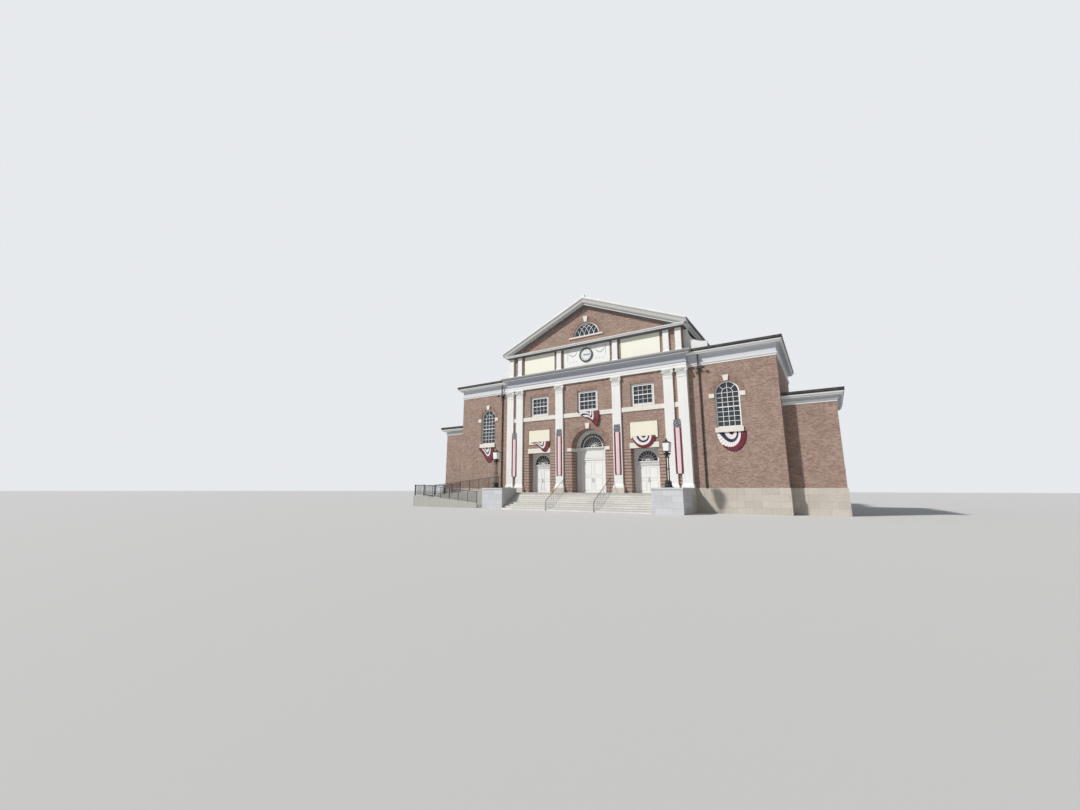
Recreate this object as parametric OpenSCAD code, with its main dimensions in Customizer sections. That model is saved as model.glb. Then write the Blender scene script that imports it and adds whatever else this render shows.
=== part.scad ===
// Town hall in red brick with a temple front: giant white pilasters, an attic storey
// with a clock, a pediment with a lunette, and two lower wings with arched windows.
// X runs along the front, Y into the building and Z up, all in millimetres.
// The origin is at ground level under the middle of the centre block's brick face.

/* [Plan] */
// Half width of the centre block, to its brick corner
hall_half = 9050; // [9000:10:9100]
// Depth of the centre block and the hall behind it
hall_depth = 24000; // [21000:100:28000]
// Width of each wing beside the centre block
wing_w = 6570; // [6200:10:6900]
// Distance of the wings' front behind the centre block's brick face
wing_set = 290; // [200:10:400]
// Depth of each wing
wing_depth = 11500; // [11200:100:13000]
// Width of each annex beside its wing
annex_w = 3380; // [3000:10:3480]
// Distance of the annexes' front behind the centre block's brick face
annex_set = 1320; // [1000:10:1800]
// Depth of each annex
annex_depth = 7000; // [6000:100:7400]
// Thickness of the outer walls
wall_t = 450; // [400:10:500]
// Thickness of the front wall beside and over the doorways
portal_t = 1200; // [1150:10:1400]

/* [Heights] */
// Top of the granite base
base_h = 1900; // [1800:10:2000]
// Level of the landing and of the ground floor
floor_z = 1485; // [1400:5:1560]
// Thickness of each floor slab
slab_t = 250; // [150:10:300]
// Top of the upper floor
upper_floor_z = 7950; // [7900:10:8050]
// Underside of the architrave on the centre block and the wings
arch_z = 11670; // [11550:10:11800]
// Top of the main cornice
cornice_z = 13050; // [12980:10:13200]
// Underside of the cornice over the attic storey
attic_z = 15100; // [15000:10:15200]
// Underside of the annexes' cornice
annex_z = 7950; // [7700:10:8100]

/* [Giant pilasters] */
// Width of a pilaster shaft
pil_w = 800; // [740:10:820]
// How far the shafts stand out from the brick
pil_out = 160; // [140:10:200]
// Distance of the outer pilaster's middle from the brick corner
corner_a = 320; // [300:10:350]
// Distance of the inner pilaster's middle from the brick corner
corner_b = 1470; // [1430:10:1530]
// Middle of the single pilaster beside the main doorway
pil_c = 2930; // [2900:10:3000]
// Height of the moulded pilaster base
pil_base_h = 330; // [250:10:420]
// Height of the capitals
capital_h = 800; // [650:10:900]

/* [Doorways] */
// Half width of the main arched recess
arch_r = 1700; // [1640:10:1740]
// Springing level of the main arch
spring_z = 5520; // [5450:10:5560]
// Distance of the main doorcase behind the brick face
main_set = 990; // [900:10:1000]
// Half width of the main pair of doors
main_door_half = 1100; // [1000:10:1150]
// Top of the main doors
main_door_z = 4400; // [4200:10:4500]
// Middle of each side doorway
side_x = 5270; // [5230:10:5300]
// Half width of the side recesses
side_half = 1210; // [1180:10:1230]
// Underside of the side doorways' lintels
lintel_z = 5220; // [5180:10:5260]
// Distance of the side doorcases behind the brick face
side_set = 690; // [600:10:760]
// Half width of a side pair of doors
side_door_half = 1000; // [940:10:1020]
// Top of the side doors
side_door_z = 3740; // [3600:10:3800]
// Radius of the side fanlights
side_fan_r = 930; // [850:10:960]
// Height of the springing of the side fanlights
side_fan_z = 4150; // [4050:10:4180]
// Radius of the main fanlight
main_fan_r = 1270; // [1150:10:1400]
// Thickness of the doorcases
case_t = 120; // [100:5:140]
// Thickness of a door leaf
leaf_t = 55; // [45:1:60]
// Gap round each door leaf
leaf_gap = 8; // [6:1:12]

/* [Windows] */
// Half width of the upper windows
sash_half = 1050; // [950:10:1080]
// Sill level of the upper windows
sash_z = 8830; // [8810:10:8900]
// Height of the square headed windows
sash_h = 2000; // [1900:10:2050]
// Sill level of the lower windows at the sides and the rear
low_sill_z = 3300; // [3000:10:3800]
// Middle of the wings' arched windows
wing_win_x = 11990; // [11900:10:12100]
// Half width of the arched windows
wing_win_r = 915; // [850:5:950]
// Sill level of the arched windows
wing_win_z = 6500; // [6300:10:6700]
// Springing level of the arched windows
wing_spring_z = 9245; // [9150:5:9400]
// Half width of the lunette in the pediment
lunette_r = 1360; // [1250:10:1450]
// Sill level of the lunette
lunette_z = 16160; // [16100:10:16250]
// How far window frames sit behind the brick
frame_set = 140; // [100:10:180]
// Depth of the window frames
frame_t = 110; // [80:5:130]
// Width of the arched windows' frames as they show
frame_w = 110; // [80:5:140]
// Width of the casings round the square headed windows
casing_w = 240; // [180:10:260]
// Thickness of the glass
glass_t = 20; // [12:1:30]

/* [Attic and pediment] */
// Distance of the attic storey's side walls inside the brick corners below
attic_step = 180; // [110:10:250]
// Width of the small pilasters
small_w = 500; // [440:10:540]
// Rise of the roof for each unit of run
pitch = 0.43; // [0.40:0.01:0.46]
// Overhang of the main roof at the sides, from the attic's brick
eave_out = 620; // [600:10:700]
// Level of the top of the main roof's edge at the eaves
eave_z = 15780; // [15720:10:15850]
// Upright thickness of the main roof
roof_t = 200; // [150:10:230]
// Radius of the clock over its ring
clock_r = 680; // [600:10:720]
// Width of the clock's dark ring
ring_w = 110; // [80:5:140]
// Height of the middle of the clock
clock_z = 14230; // [14180:10:14280]

/* [Lamps] */
// Height of the lamp standards under their lanterns
lamp_h = 2650; // [2400:10:2800]
// Height of the lanterns' glass
lantern_h = 650; // [560:10:720]
// Width of the lanterns' glass at its top
lantern_w = 520; // [460:10:560]

/* [Steps and ramp] */
// Number of risers up to the landing
risers = 9; // [8:1:10]
// Going of each step
going = 280; // [260:5:310]
// Depth of the landing in front of the brick face
landing_d = 1370; // [1300:10:1450]
// Width of each cheek wall
cheek_w = 2300; // [2250:10:2430]
// How far the cheek walls stand out beyond the brick corners
cheek_out = 180; // [160:10:230]
// Clear width of each lane of the ramp
lane_w = 1300; // [1200:10:1350]
// Distance of the turning platform inside the annexes' outer corner
platform_in = 870; // [770:10:1170]
// Run of the ramp for each unit of rise
ramp_slope = 11; // [10:0.1:11.4]
// Thickness of the ramp's side walls
curb_t = 180; // [150:10:200]

/* [Hidden] */
$fn = 48;

brick = [0.62, 0.32, 0.25];
white = [0.93, 0.93, 0.91];
granite = [0.72, 0.70, 0.67];
cream = [0.95, 0.90, 0.72];
slate = [0.22, 0.23, 0.25];
iron = [0.08, 0.08, 0.09];
pane = [0.25, 0.30, 0.36, 0.6];
cloth = [0.70, 0.15, 0.20];

// Half widths over the wings, the annexes and the attic storey, to the brick corners
wing_half = hall_half + wing_w;
annex_half = wing_half + annex_w;
attic_half = hall_half - attic_step;
// Middles of the paired pilasters
pil_a = hall_half - corner_a;
pil_b = hall_half - corner_b;
// How far the granite base stands out from the brick
base_out = 60;
// How far a plinth stands out in front of its pilaster
plinth_out = 150;
// Inner face of the hall's side walls
hall_in = hall_half - wall_t;
hall_end = hall_depth - wall_t;
attic_in = attic_half - wall_t;
wing_end = wing_set + wing_depth;
annex_end = annex_set + annex_depth;
annex_mid = annex_set + annex_depth / 2;
// Tops of the wings' and the annexes' walls, and reach of their cornices
wing_top = 12810;
annex_top = 8600;
crown_out = 480;
// Roof lines
ridge_z = eave_z + (attic_half + eave_out) * pitch;
roof_angle = atan(pitch);
function roof_under(x) = ridge_z - roof_t - x * pitch;
// Reach of the main cornice from the pilasters, and its outer corner
cornice_out = 500;
cornice_x = pil_a + pil_w / 2 + cornice_out;
// Reach of the sloping cornices in front of the brick, and their lower end
rake_out = 640;
rake_x = attic_half + eave_out - 10;
// Air between the sloping cornices and the roof, and at the mitres of cornices and gutters
seat_air = 0.2;
mitre_gap = 2;
// Painted panels: thickness, level and height over the side doors, gap beside a pilaster
panel_t = 30;
panel_z = 6050;
panel_h = 1430;
panel_gap = 270;
// Place and thickness of the scroll parapets
scroll_y = 560;
scroll_t = 300;
scroll_run = 1890;
// Steps between their cheek walls
cheek_half = hall_half + cheek_out;
steps_half = cheek_half - cheek_w;
riser = floor_z / risers;
cheek_front = landing_d + (risers - 1) * going;
lamp_x = (steps_half + cheek_half) / 2;
lamp_y = -3060;
// Ramp: inner edge of the upper lane, edge between the lanes, platform and foot
ramp_y = wing_set - base_out;
outer_y = ramp_y - lane_w - curb_t;
platform_x = platform_in - annex_half;
lane_run = -cheek_half - platform_x;
platform_end = platform_x - lane_w;
platform_z = floor_z - lane_run / ramp_slope;
ramp_foot = platform_x + platform_z * ramp_slope;
curb_h = 450;
// Level of the ledges across the doorcases, and how far their flat pilasters stand out
main_ledge_z = spring_z - 140;
side_ledge_z = side_fan_z - 160;
case_out = 35;
// Depths of the front faces of the leaves
main_leaf_y = main_set + 20;
side_leaf_y = side_set + 20;
// Hinge plate, barrel, pin and the length of each of three knuckles
plate_t = 2;
hinge_r = leaf_gap - plate_t - 0.5;
pin_r = hinge_r / 2;
knuckle = 34;
// Air between hung cloth and what is behind it
cloth_gap = 0.3;
// Place and height of the iron handrails on the steps
grip_x = 2250;
grip_h = 880;
grip_foot = 60;
grip_bend = 130;
// Half width of a fan of cloth
fan_half = 1020;
rail_h = 1080;
// Middles of the windows in the hall's side walls behind the wings, and in a wing's side
hall_bays = [for (i = [0:2]) wing_end + (hall_depth - wing_end) * (i + 0.5) / 3];
wing_bay = (annex_end + wing_end) / 2;
window_bays = [-side_x, 0, side_x];

// Box between two corners
module slab(x0, x1, y0, y1, z0, z1) {
    translate([x0, y0, z0]) cube([x1 - x0, y1 - y0, z1 - z0]);
}

// The same shape on both sides of the middle
module both() {
    children();
    mirror([1, 0, 0]) children();
}

// Round bar between two points, or a bar of n sides
module rod(p, q, r, n = 48) {
    d = q - p;
    translate(p) rotate([0, acos(d[2] / norm(d)), atan2(d[1], d[0])])
        cylinder(r = r, h = norm(d), $fn = n);
}

// Quarter round from one point of a moulding to the next, hollow or bulging
function quarter(p, q, hollow, n = 4) = [
    for (i = [0:n])
        let (a = 90 * i / n)
        hollow
            ? [p[0] + (q[0] - p[0]) * (1 - cos(a)), p[1] + (q[1] - p[1]) * sin(a)]
            : [p[0] + (q[0] - p[0]) * sin(a), p[1] + (q[1] - p[1]) * (1 - cos(a))]
];

// Moulding that runs round a block: prof lists [projection, height] from the foot up.
// The factors say on which sides it stands out.
module moulding(x0, x1, y0, y1, prof, left = 1, right = 1, back = 0) {
    last = len(prof) - 1;
    far = 2000;
    intersection() {
        translate([x0 - far, 0, 0]) rotate([90, 0, 90]) linear_extrude(x1 - x0 + 2 * far)
            polygon(concat(
                [for (p = prof) [y0 - p[0], p[1]]],
                [for (i = [last:-1:0]) [y1 + back * prof[i][0], prof[i][1]]]));
        translate([0, y1 + far, 0]) rotate([90, 0, 0]) linear_extrude(y1 - y0 + 2 * far)
            polygon(concat(
                [for (p = prof) [x0 - left * p[0], p[1]]],
                [for (i = [last:-1:0]) [x1 + right * prof[i][0], prof[i][1]]]));
    }
}

// Profile of a moulding with every projection less by d
function set_back(prof, d) = [for (p = prof) [p[0] - d, p[1]]];

// Upright plate with a half round head, drawn in X and Z
module arched(x, half, z0, z_spring, y0, y1) {
    translate([x, y1, 0]) rotate([90, 0, 0]) linear_extrude(y1 - y0) union() {
        translate([-half, z0]) square([2 * half, z_spring - z0]);
        translate([0, z_spring]) circle(half);
    }
}

// Half round plate, flat side down, whose flat side may lie above the circle's middle
module half_round(x, r, z, y0, y1, flat = 0) {
    translate([x, y1, z]) rotate([90, 0, 0]) linear_extrude(y1 - y0) intersection() {
        circle(r);
        translate([-r, flat]) square([2 * r, r]);
    }
}

// Granite base of all the outer walls, lower where the brick piers stand on the landing's level
module stone_base() {
    color(granite) difference() {
        union() {
            slab(-hall_half - base_out, hall_half + base_out, -base_out, hall_depth + base_out,
                0, base_h);
            both() slab(hall_half, cheek_half, -base_out, wing_set, 0, base_h);
            both() slab(hall_in, wing_half + base_out, wing_set - base_out, wing_end + base_out,
                0, base_h);
            both() slab(wing_half - wall_t, annex_half + base_out, annex_set - base_out,
                annex_end + base_out, 0, base_h);
        }
        slab(-hall_in, hall_in, portal_t, hall_end, -1, base_h + 1);
        both() slab(hall_half, wing_half - wall_t, wing_set + wall_t, wing_end - wall_t,
            -1, base_h + 1);
        both() slab(wing_half, annex_half - wall_t, annex_set + wall_t, annex_end - wall_t,
            -1, base_h + 1);
        slab(-hall_half, hall_half, -1, portal_t + 1, floor_z, base_h + 1);
        slab(-cheek_half - 1, cheek_half + 1, -base_out - 1, 0, floor_z, base_h + 1);
    }
}

// Floor slabs at the level of the landing
module ground_floor() {
    z0 = floor_z - slab_t;
    color(granite) {
        slab(-hall_in, hall_in, portal_t, hall_end, z0, floor_z);
        both() slab(hall_half, wing_half - wall_t, wing_set + wall_t, wing_end - wall_t, z0, floor_z);
        both() slab(wing_half, annex_half - wall_t, annex_set + wall_t, annex_end - wall_t, z0, floor_z);
    }
}

// Floor of the storey behind the upper windows
module upper_floor() {
    color(granite)
        slab(-hall_in, hall_in, wall_t, hall_end, upper_floor_z - slab_t, upper_floor_z);
}

// Granite landing between the steps and the base
module landing() {
    color(granite) slab(-cheek_half, cheek_half, -landing_d, -base_out, 0, floor_z);
}

// Flight of granite steps in front of the landing
module front_steps() {
    color(granite) translate([-steps_half, 0, 0]) rotate([90, 0, 90]) linear_extrude(2 * steps_half)
        polygon(concat(
            [[-landing_d, 0], [-cheek_front, 0]],
            [for (i = [0:risers - 2], s = [0, 1]) [-cheek_front + (i + s) * going, (i + 1) * riser]]));
}

// Granite cheek walls that end the steps, each with a coping of the same stone
module cheek_walls() {
    cap = 140;
    lip = 40;
    back = -pil_out - plinth_out;
    color(granite) {
        for (s = [-1, 1]) scale_x(s)
            slab(steps_half, cheek_half, -cheek_front, -landing_d, 0, base_h - cap);
        slab(steps_half, cheek_half, -landing_d, back, floor_z, base_h - cap);
        slab(steps_half, cheek_half + lip, -cheek_front - lip, back, base_h - cap, base_h);
        slab(-cheek_half - lip, -steps_half, -cheek_front - lip, -landing_d, base_h - cap, base_h);
    }
}

// Shape as drawn for 1, or mirrored to the other side for -1
module scale_x(side) {
    mirror([side > 0 ? 0 : 1, 0, 0]) children();
}

// Brick piers between and beside the three doorways
module front_piers() {
    color(brick) both() {
        slab(arch_r, side_x - side_half, 0, portal_t, floor_z, lintel_z);
        slab(side_x + side_half, hall_half, 0, portal_t, floor_z, lintel_z);
    }
}

// Brickwork over the side doorways
module doorway_heads() {
    color(brick) both()
        slab(side_x - side_half, hall_half, 0, portal_t, lintel_z, upper_floor_z - slab_t);
}

// Brickwork round the head of the main arch
module arch_wall() {
    w = side_x - side_half;
    color(brick) difference() {
        slab(-w, w, 0, portal_t, lintel_z, upper_floor_z - slab_t);
        arched(0, arch_r, lintel_z - 1, spring_z, -1, portal_t + 1);
    }
}

// Front wall of the upper storey with three window openings
module upper_front_wall() {
    color(brick) difference() {
        slab(-hall_half, hall_half, 0, wall_t, upper_floor_z - slab_t, cornice_z);
        for (x = window_bays)
            slab(x - sash_half, x + sash_half, -1, wall_t + 1, sash_z, sash_z + sash_h);
    }
}

// Brick of the attic storey between the main cornice and the pediment
module attic_wall() {
    color(brick) slab(-attic_half, attic_half, 0, wall_t, cornice_z, attic_z);
}

// Gable wall up to the underside of the roof
module gable(y0, y1) {
    translate([0, y1, 0]) rotate([90, 0, 0]) linear_extrude(y1 - y0)
        polygon([[-attic_half, attic_z], [attic_half, attic_z], [attic_half, roof_under(attic_half)],
            [0, roof_under(0)], [-attic_half, roof_under(attic_half)]]);
}

// Brick tympanum with the lunette cut through
module front_gable() {
    color(brick) difference() {
        gable(0, wall_t);
        half_round(0, lunette_r, lunette_z, -1, wall_t + 1);
    }
}

// Walls of the hall over and behind the wings, with two rows of windows at the rear
module hall_side_walls() {
    color(brick) both() difference() {
        union() {
            slab(hall_in, hall_half, portal_t, hall_end, base_h, upper_floor_z);
            slab(hall_in, hall_half, wall_t, hall_end, upper_floor_z - slab_t, cornice_z);
            translate([0, hall_end, 0]) rotate([90, 0, 0]) linear_extrude(hall_end - wall_t)
                polygon([[attic_in, cornice_z - 1], [attic_half, cornice_z - 1],
                    [attic_half, roof_under(attic_half)], [attic_in, roof_under(attic_in)]]);
        }
        for (y = hall_bays, z = [low_sill_z, sash_z])
            slab(hall_in - 1, hall_half + 1, y - sash_half, y + sash_half, z, z + sash_h);
    }
}

// Rear wall with its gable and two rows of windows
module hall_rear_wall() {
    color(brick) difference() {
        union() {
            slab(-hall_half, hall_half, hall_end, hall_depth, base_h, cornice_z);
            slab(-attic_half, attic_half, hall_end, hall_depth, cornice_z - 1, attic_z + 1);
            gable(hall_end, hall_depth);
        }
        for (x = window_bays, z = [low_sill_z, sash_z])
            slab(x - sash_half, x + sash_half, hall_end - 1, hall_depth + 1, z, z + sash_h);
    }
}

// Front walls of the wings, each with one tall arched window
module wing_front_walls() {
    color(brick) both() difference() {
        slab(hall_half, wing_half, wing_set, wing_set + wall_t, base_h, wing_top);
        arched(wing_win_x, wing_win_r, wing_win_z, wing_spring_z, wing_set - 1, wing_set + wall_t + 1);
    }
}

// Arched shape turned to the side walls of the wings
module side_arched(half, z0, x0, x1) {
    rotate([0, 0, 90]) arched(wing_bay, half, z0, wing_spring_z, -x1, -x0);
}

// Side walls of the wings, with an arched window behind each annex
module wing_side_walls() {
    color(brick) both() difference() {
        slab(wing_half - wall_t, wing_half, wing_set + wall_t, wing_end - wall_t, base_h, wing_top);
        side_arched(wing_win_r, wing_win_z, wing_half - wall_t - 1, wing_half + 1);
    }
}

// Rear walls of the wings, like the front ones
module wing_rear_walls() {
    color(brick) both() difference() {
        slab(hall_half, wing_half, wing_end - wall_t, wing_end, base_h, wing_top);
        arched(wing_win_x, wing_win_r, wing_win_z, wing_spring_z, wing_end - wall_t - 1, wing_end + 1);
    }
}

// Plain front walls of the annexes
module annex_front_walls() {
    color(brick) both()
        slab(wing_half, annex_half, annex_set, annex_set + wall_t, base_h, annex_top);
}

// Side walls of the annexes, each with one square headed window
module annex_side_walls() {
    color(brick) both() difference() {
        slab(annex_half - wall_t, annex_half, annex_set + wall_t, annex_end - wall_t, base_h, annex_top);
        slab(annex_half - wall_t - 1, annex_half + 1, annex_mid - sash_half, annex_mid + sash_half,
            low_sill_z, low_sill_z + sash_h);
    }
}

// Plain rear walls of the annexes
module annex_rear_walls() {
    color(brick) both()
        slab(wing_half, annex_half, annex_end - wall_t, annex_end, base_h, annex_top);
}

// Pilaster with a moulded foot, standing out from a wall whose face is at y = 0
module pilaster(x, w, out, z0, z1, foot, back = 0) {
    prof = concat(
        [[90, z0], [90, z0 + foot * 0.35]],
        quarter([75, z0 + foot * 0.35], [45, z0 + foot * 0.6], true),
        quarter([45, z0 + foot * 0.65], [0, z0 + foot], true),
        [[0, z1]]);
    moulding(x - w / 2, x + w / 2, -out, back, prof);
}

// Shafts of the giant pilasters with their moulded bases
module pilasters() {
    z1 = arch_z - capital_h;
    color(white) both() {
        for (x = [pil_b, pil_c])
            pilaster(x, pil_w, pil_out, base_h, z1, pil_base_h);
        difference() {
            pilaster(pil_a, pil_w, pil_out, base_h, z1, pil_base_h, wing_set);
            slab(0, hall_half, 0, wing_set + 1, 0, z1 + 1);
        }
    }
}

// Capital of a giant pilaster: necking, leaved bell, corner volutes and abacus
module capital(x, back) {
    z0 = arch_z - capital_h;
    volute_r = capital_h * 0.17;
    leaf_w = pil_w / 4;
    prof = concat(
        [[35, z0], [35, z0 + 60], [8, z0 + 60]],
        quarter([8, z0 + capital_h * 0.45], [70, z0 + capital_h * 0.82], true),
        [[95, z0 + capital_h * 0.84], [95, arch_z]]);
    moulding(x - pil_w / 2, x + pil_w / 2, -pil_out, back, prof);
    for (s = [-1, 1])
        translate([x + s * (pil_w / 2 - 10), -pil_out + 10, arch_z - capital_h * 0.34])
            rotate([90, 0, 0]) cylinder(r = volute_r, h = 100);
    for (row = [0, 1], k = [0:3 - row])
        translate([x + (k - (3 - row) / 2) * leaf_w, -pil_out, z0 + 60])
            rotate([90, 0, 0]) linear_extrude(35 + 20 * row) leaf_outline(leaf_w * 0.42,
                capital_h * (0.3 + 0.22 * row));
}

// Outline of a carved leaf with a round tip
module leaf_outline(half, h) {
    translate([-half, 0]) square([2 * half, h - half]);
    translate([0, h - half]) circle(half);
}

// Capitals of the giant pilasters
module pilaster_capitals() {
    color(white) both() {
        for (x = [pil_b, pil_c]) capital(x, 0);
        difference() {
            capital(pil_a, wing_set);
            slab(0, hall_half, 0, wing_set + 1, arch_z - capital_h - 1, arch_z + 1);
        }
    }
}

// Granite plinths on the landing under the giant pilasters
module pilaster_plinths() {
    y = -pil_out - plinth_out;
    color(granite) both() {
        slab(pil_c - pil_w / 2 - 130, pil_c + pil_w / 2 + 130, y, 0, floor_z, base_h);
        slab(pil_b - pil_w / 2 - 130, cheek_half, y, 0, floor_z, base_h);
    }
}

// Architrave, frieze and cornice as one profile
function order_profile(z0, z1, out) = let (h = z1 - z0) concat(
    [[0, z0], [0, z0 + h * 0.14], [25, z0 + h * 0.14], [25, z0 + h * 0.27]],
    quarter([25, z0 + h * 0.28], [75, z0 + h * 0.34], false),
    [[75, z0 + h * 0.36], [5, z0 + h * 0.36], [5, z0 + h * 0.66]],
    quarter([5, z0 + h * 0.66], [90, z0 + h * 0.75], true),
    [[out * 0.72, z0 + h * 0.76], [out * 0.72, z0 + h * 0.86]],
    quarter([out * 0.76, z0 + h * 0.87], [out, z0 + h * 0.97], false),
    [[out, z1]]);

// Whole block of the main entablature, before its inside is cut away
module entablature_block() {
    moulding(-pil_a - pil_w / 2, pil_a + pil_w / 2, -pil_out, wing_set,
        order_profile(arch_z, cornice_z, cornice_out));
}

// Entablature across the centre block, which returns to the wings
module entablature() {
    color(white) difference() {
        entablature_block();
        slab(-hall_half, hall_half, 0, wing_set + 1, arch_z - 1, cornice_z + 1);
    }
}

// Profile of the cornices on the wings and annexes
function low_profile(z0, z1, out) = concat(
    [[40, z0], [40, z0 + 120], [75, z0 + 120]],
    quarter([75, z0 + 130], [110, z0 + 230], false),
    [[30, z0 + 230], [30, z1 - 300]],
    quarter([30, z1 - 300], [150, z1 - 220], true),
    [[out * 0.78, z1 - 220], [out * 0.78, z1 - 150]],
    quarter([out * 0.82, z1 - 140], [out, z1 - 20], false),
    [[out, z1]]);

// Band of one outline round the wings and the hall behind them
module wing_band() {
    prof = low_profile(arch_z, wing_top, crown_out);
    moulding(-wing_half, wing_half, wing_set, wing_end, prof, back = 1);
    moulding(-hall_half, hall_half, wing_set + 1000, hall_depth, prof, back = 1);
}

// Thin cut through a corner of a cornice or gutter, outwards from the wall's corner
module mitre(x, y, a) {
    translate([x, y, 0]) rotate([0, 0, a]) translate([-20, -mitre_gap / 2, 0])
        cube([1.5 * crown_out, mitre_gap, cornice_z + 1]);
}

// Mitres at the outer corners of the wings and the annexes
module outer_mitres() {
    both() {
        mitre(wing_half, wing_set, -45);
        mitre(wing_half, wing_end, 45);
        mitre(annex_half, annex_set, -45);
        mitre(annex_half, annex_end, 45);
    }
}

// Cornices of the wings, the hall behind them and the annexes, in straight mitred runs,
// and the small ones across the doorcases
module low_cornices() {
    color(white) {
        difference() {
            low_cornice_rings();
            outer_mitres();
            both() {
                mitre(hall_half, wing_end, 45);
                mitre(hall_half, hall_depth, 45);
            }
        }
        door_cornices(0, arch_r - 10, main_door_half, main_set, main_ledge_z, 220, 160, main_door_z);
        for (x = [-side_x, side_x])
            door_cornices(x, side_half - 10, side_door_half, side_set, side_ledge_z, 140, 70,
                side_door_z);
    }
}

// Moulded ledge across a doorcase, from z up and out by out, and the moulding over its doors
module door_cornices(x, half, door_half, y, z, h, out, door_z) {
    ledge = concat([[out * 0.3, z], [out * 0.3, z + h * 0.3]],
        quarter([out * 0.35, z + h * 0.32], [out * 0.8, z + h * 0.6], true),
        [[out, z + h * 0.65], [out, z + h]]);
    head = [[20, door_z + 20], [20, door_z + 55], [case_out, door_z + 70], [case_out, door_z + 85]];
    translate([0, y, 0]) {
        moulding(x - half, x + half, -5, 0, set_back(ledge, 5), left = 0, right = 0);
        moulding(x - door_half - 40, x + door_half + 40, -5, 0, set_back(head, 5), left = 0,
            right = 0);
    }
}

// Cornices before they are cut into straight runs
module low_cornice_rings() {
    union() {
        difference() {
            wing_band();
            slab(-wing_half, wing_half, wing_set, wing_end, arch_z - 1, wing_top + 1);
            slab(-hall_half, hall_half, -1000, hall_depth, arch_z - 1, wing_top + 1);
            entablature_block();
        }
        difference() {
            slab(-hall_half - crown_out, hall_half + crown_out, wing_end + crown_out + 100,
                hall_depth + crown_out, wing_top, cornice_z);
            slab(-hall_half, hall_half, 0, hall_depth, wing_top - 1, cornice_z + 1);
        }
        both() difference() {
            moulding(wing_half, annex_half, annex_set, annex_end,
                low_profile(annex_z, annex_top, crown_out), left = 0, back = 1);
            slab(wing_half - 1, annex_half, annex_set, annex_end, annex_z - 1, annex_top + 1);
        }
    }
}

// Small pilasters: over the giant ones on the attic storey, and beside the doors
module attic_pilasters() {
    color(white) both() {
        for (x = [attic_half - small_w / 2, pil_b, pil_c])
            pilaster(x, small_w, pil_out - 10, cornice_z, attic_z, 260);
        door_pilaster((main_door_half + arch_r) / 2 + 15, 245, main_set, main_ledge_z);
        for (s = [-1, 1])
            door_pilaster(side_x + s * (side_door_half + side_half + 20) / 2, 75, side_set,
                side_ledge_z);
    }
}

// Flat pilaster of a doorcase with a block at its foot and its head
module door_pilaster(x, half, y, top) {
    block_h = 270;
    slab(x - half, x + half, y - case_out, y, floor_z, top);
    for (z = [floor_z, top - block_h / 2])
        slab(x - half - 15, x + half + 15, y - case_out - 20, y, z, min(z + block_h, top));
}

// Plain painted panels over the side doors, in the attic storey and behind the clock
module painted_panels() {
    low = cornice_z + 200;
    half = side_half + 10;
    clear = small_w / 2 + panel_gap;
    color(cream) {
        both() {
            slab(side_x - half, side_x + half, -panel_t, 0, panel_z, panel_z + panel_h);
            slab(pil_c + clear, pil_b - clear, -panel_t, 0, low, attic_z);
        }
        slab(clear - pil_c, pil_c - clear, -panel_t, 0, low, attic_z);
    }
}

// Dial of the clock
module clock_face() {
    color(white) translate([0, -panel_t, clock_z]) rotate([90, 0, 0])
        cylinder(r = clock_r - ring_w, h = 50);
}

// Dark ring of the clock
module clock_ring() {
    color(iron) translate([0, -panel_t, clock_z]) rotate([90, 0, 0]) difference() {
        cylinder(r = clock_r, h = 90);
        translate([0, 0, -1]) cylinder(r = clock_r - ring_w, h = 92);
    }
}

// Level cornice under the pediment, which returns along the sides under the eaves
module pediment_cornice() {
    top = attic_z + 300;
    prof = concat(
        [[40, attic_z], [40, attic_z + 20]],
        quarter([40, attic_z + 20], [120, attic_z + 90], true),
        [[300, attic_z + 90], [300, attic_z + 180]],
        quarter([320, attic_z + 190], [390, attic_z + 280], false),
        [[390, top]]);
    color(white) {
        difference() {
            moulding(-attic_half, attic_half, -pil_out, hall_depth, prof, back = 1);
            slab(-attic_half, attic_half, 0, hall_depth, attic_z - 1, top + 1);
        }
        both() eaves_board(top);
    }
}

// Crown under the roof's lower edge
module eaves_board(z) {
    x0 = attic_half;
    x1 = attic_half + eave_out - 100;
    translate([0, hall_depth, 0]) rotate([90, 0, 0]) linear_extrude(hall_depth)
        polygon(concat([[x0, z]], quarter([x0 + 390, z], [x1, roof_under(x1)], false),
            [[x0, roof_under(x0)]]));
}

// Sloping cornices of the pediment, mitred at the ridge, with a block on the apex
module raking_cornice() {
    t = roof_t * cos(roof_angle) + seat_air;
    prof = concat(
        [[0, -820], [70, -820]],
        quarter([70, -820], [170, -720], true),
        [[400, -690], [400, -560]],
        quarter([420, -550], [560, -400], false),
        quarter([560, -380], [rake_out, -160], true),
        [[rake_out, 40], [rake_out - 70, 40], [rake_out - 70, -t], [0, -t]]);
    color(white) for (back = [0, 1]) translate([0, back * hall_depth, 0]) mirror([0, back, 0]) {
        both() intersection() {
            translate([0, 0, ridge_z]) rotate([0, roof_angle, 0]) translate([-1000, 0, 0])
                rotate([90, 0, 90]) linear_extrude(2 * rake_x)
                    polygon([for (p = prof) [-p[0], p[1]]]);
            slab(0, rake_x, -1000, 0, attic_z + 300, ridge_z + 200);
        }
        slab(-180, 180, -rake_out + 60, -rake_out + 330, ridge_z, ridge_z + 170);
    }
}

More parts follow.
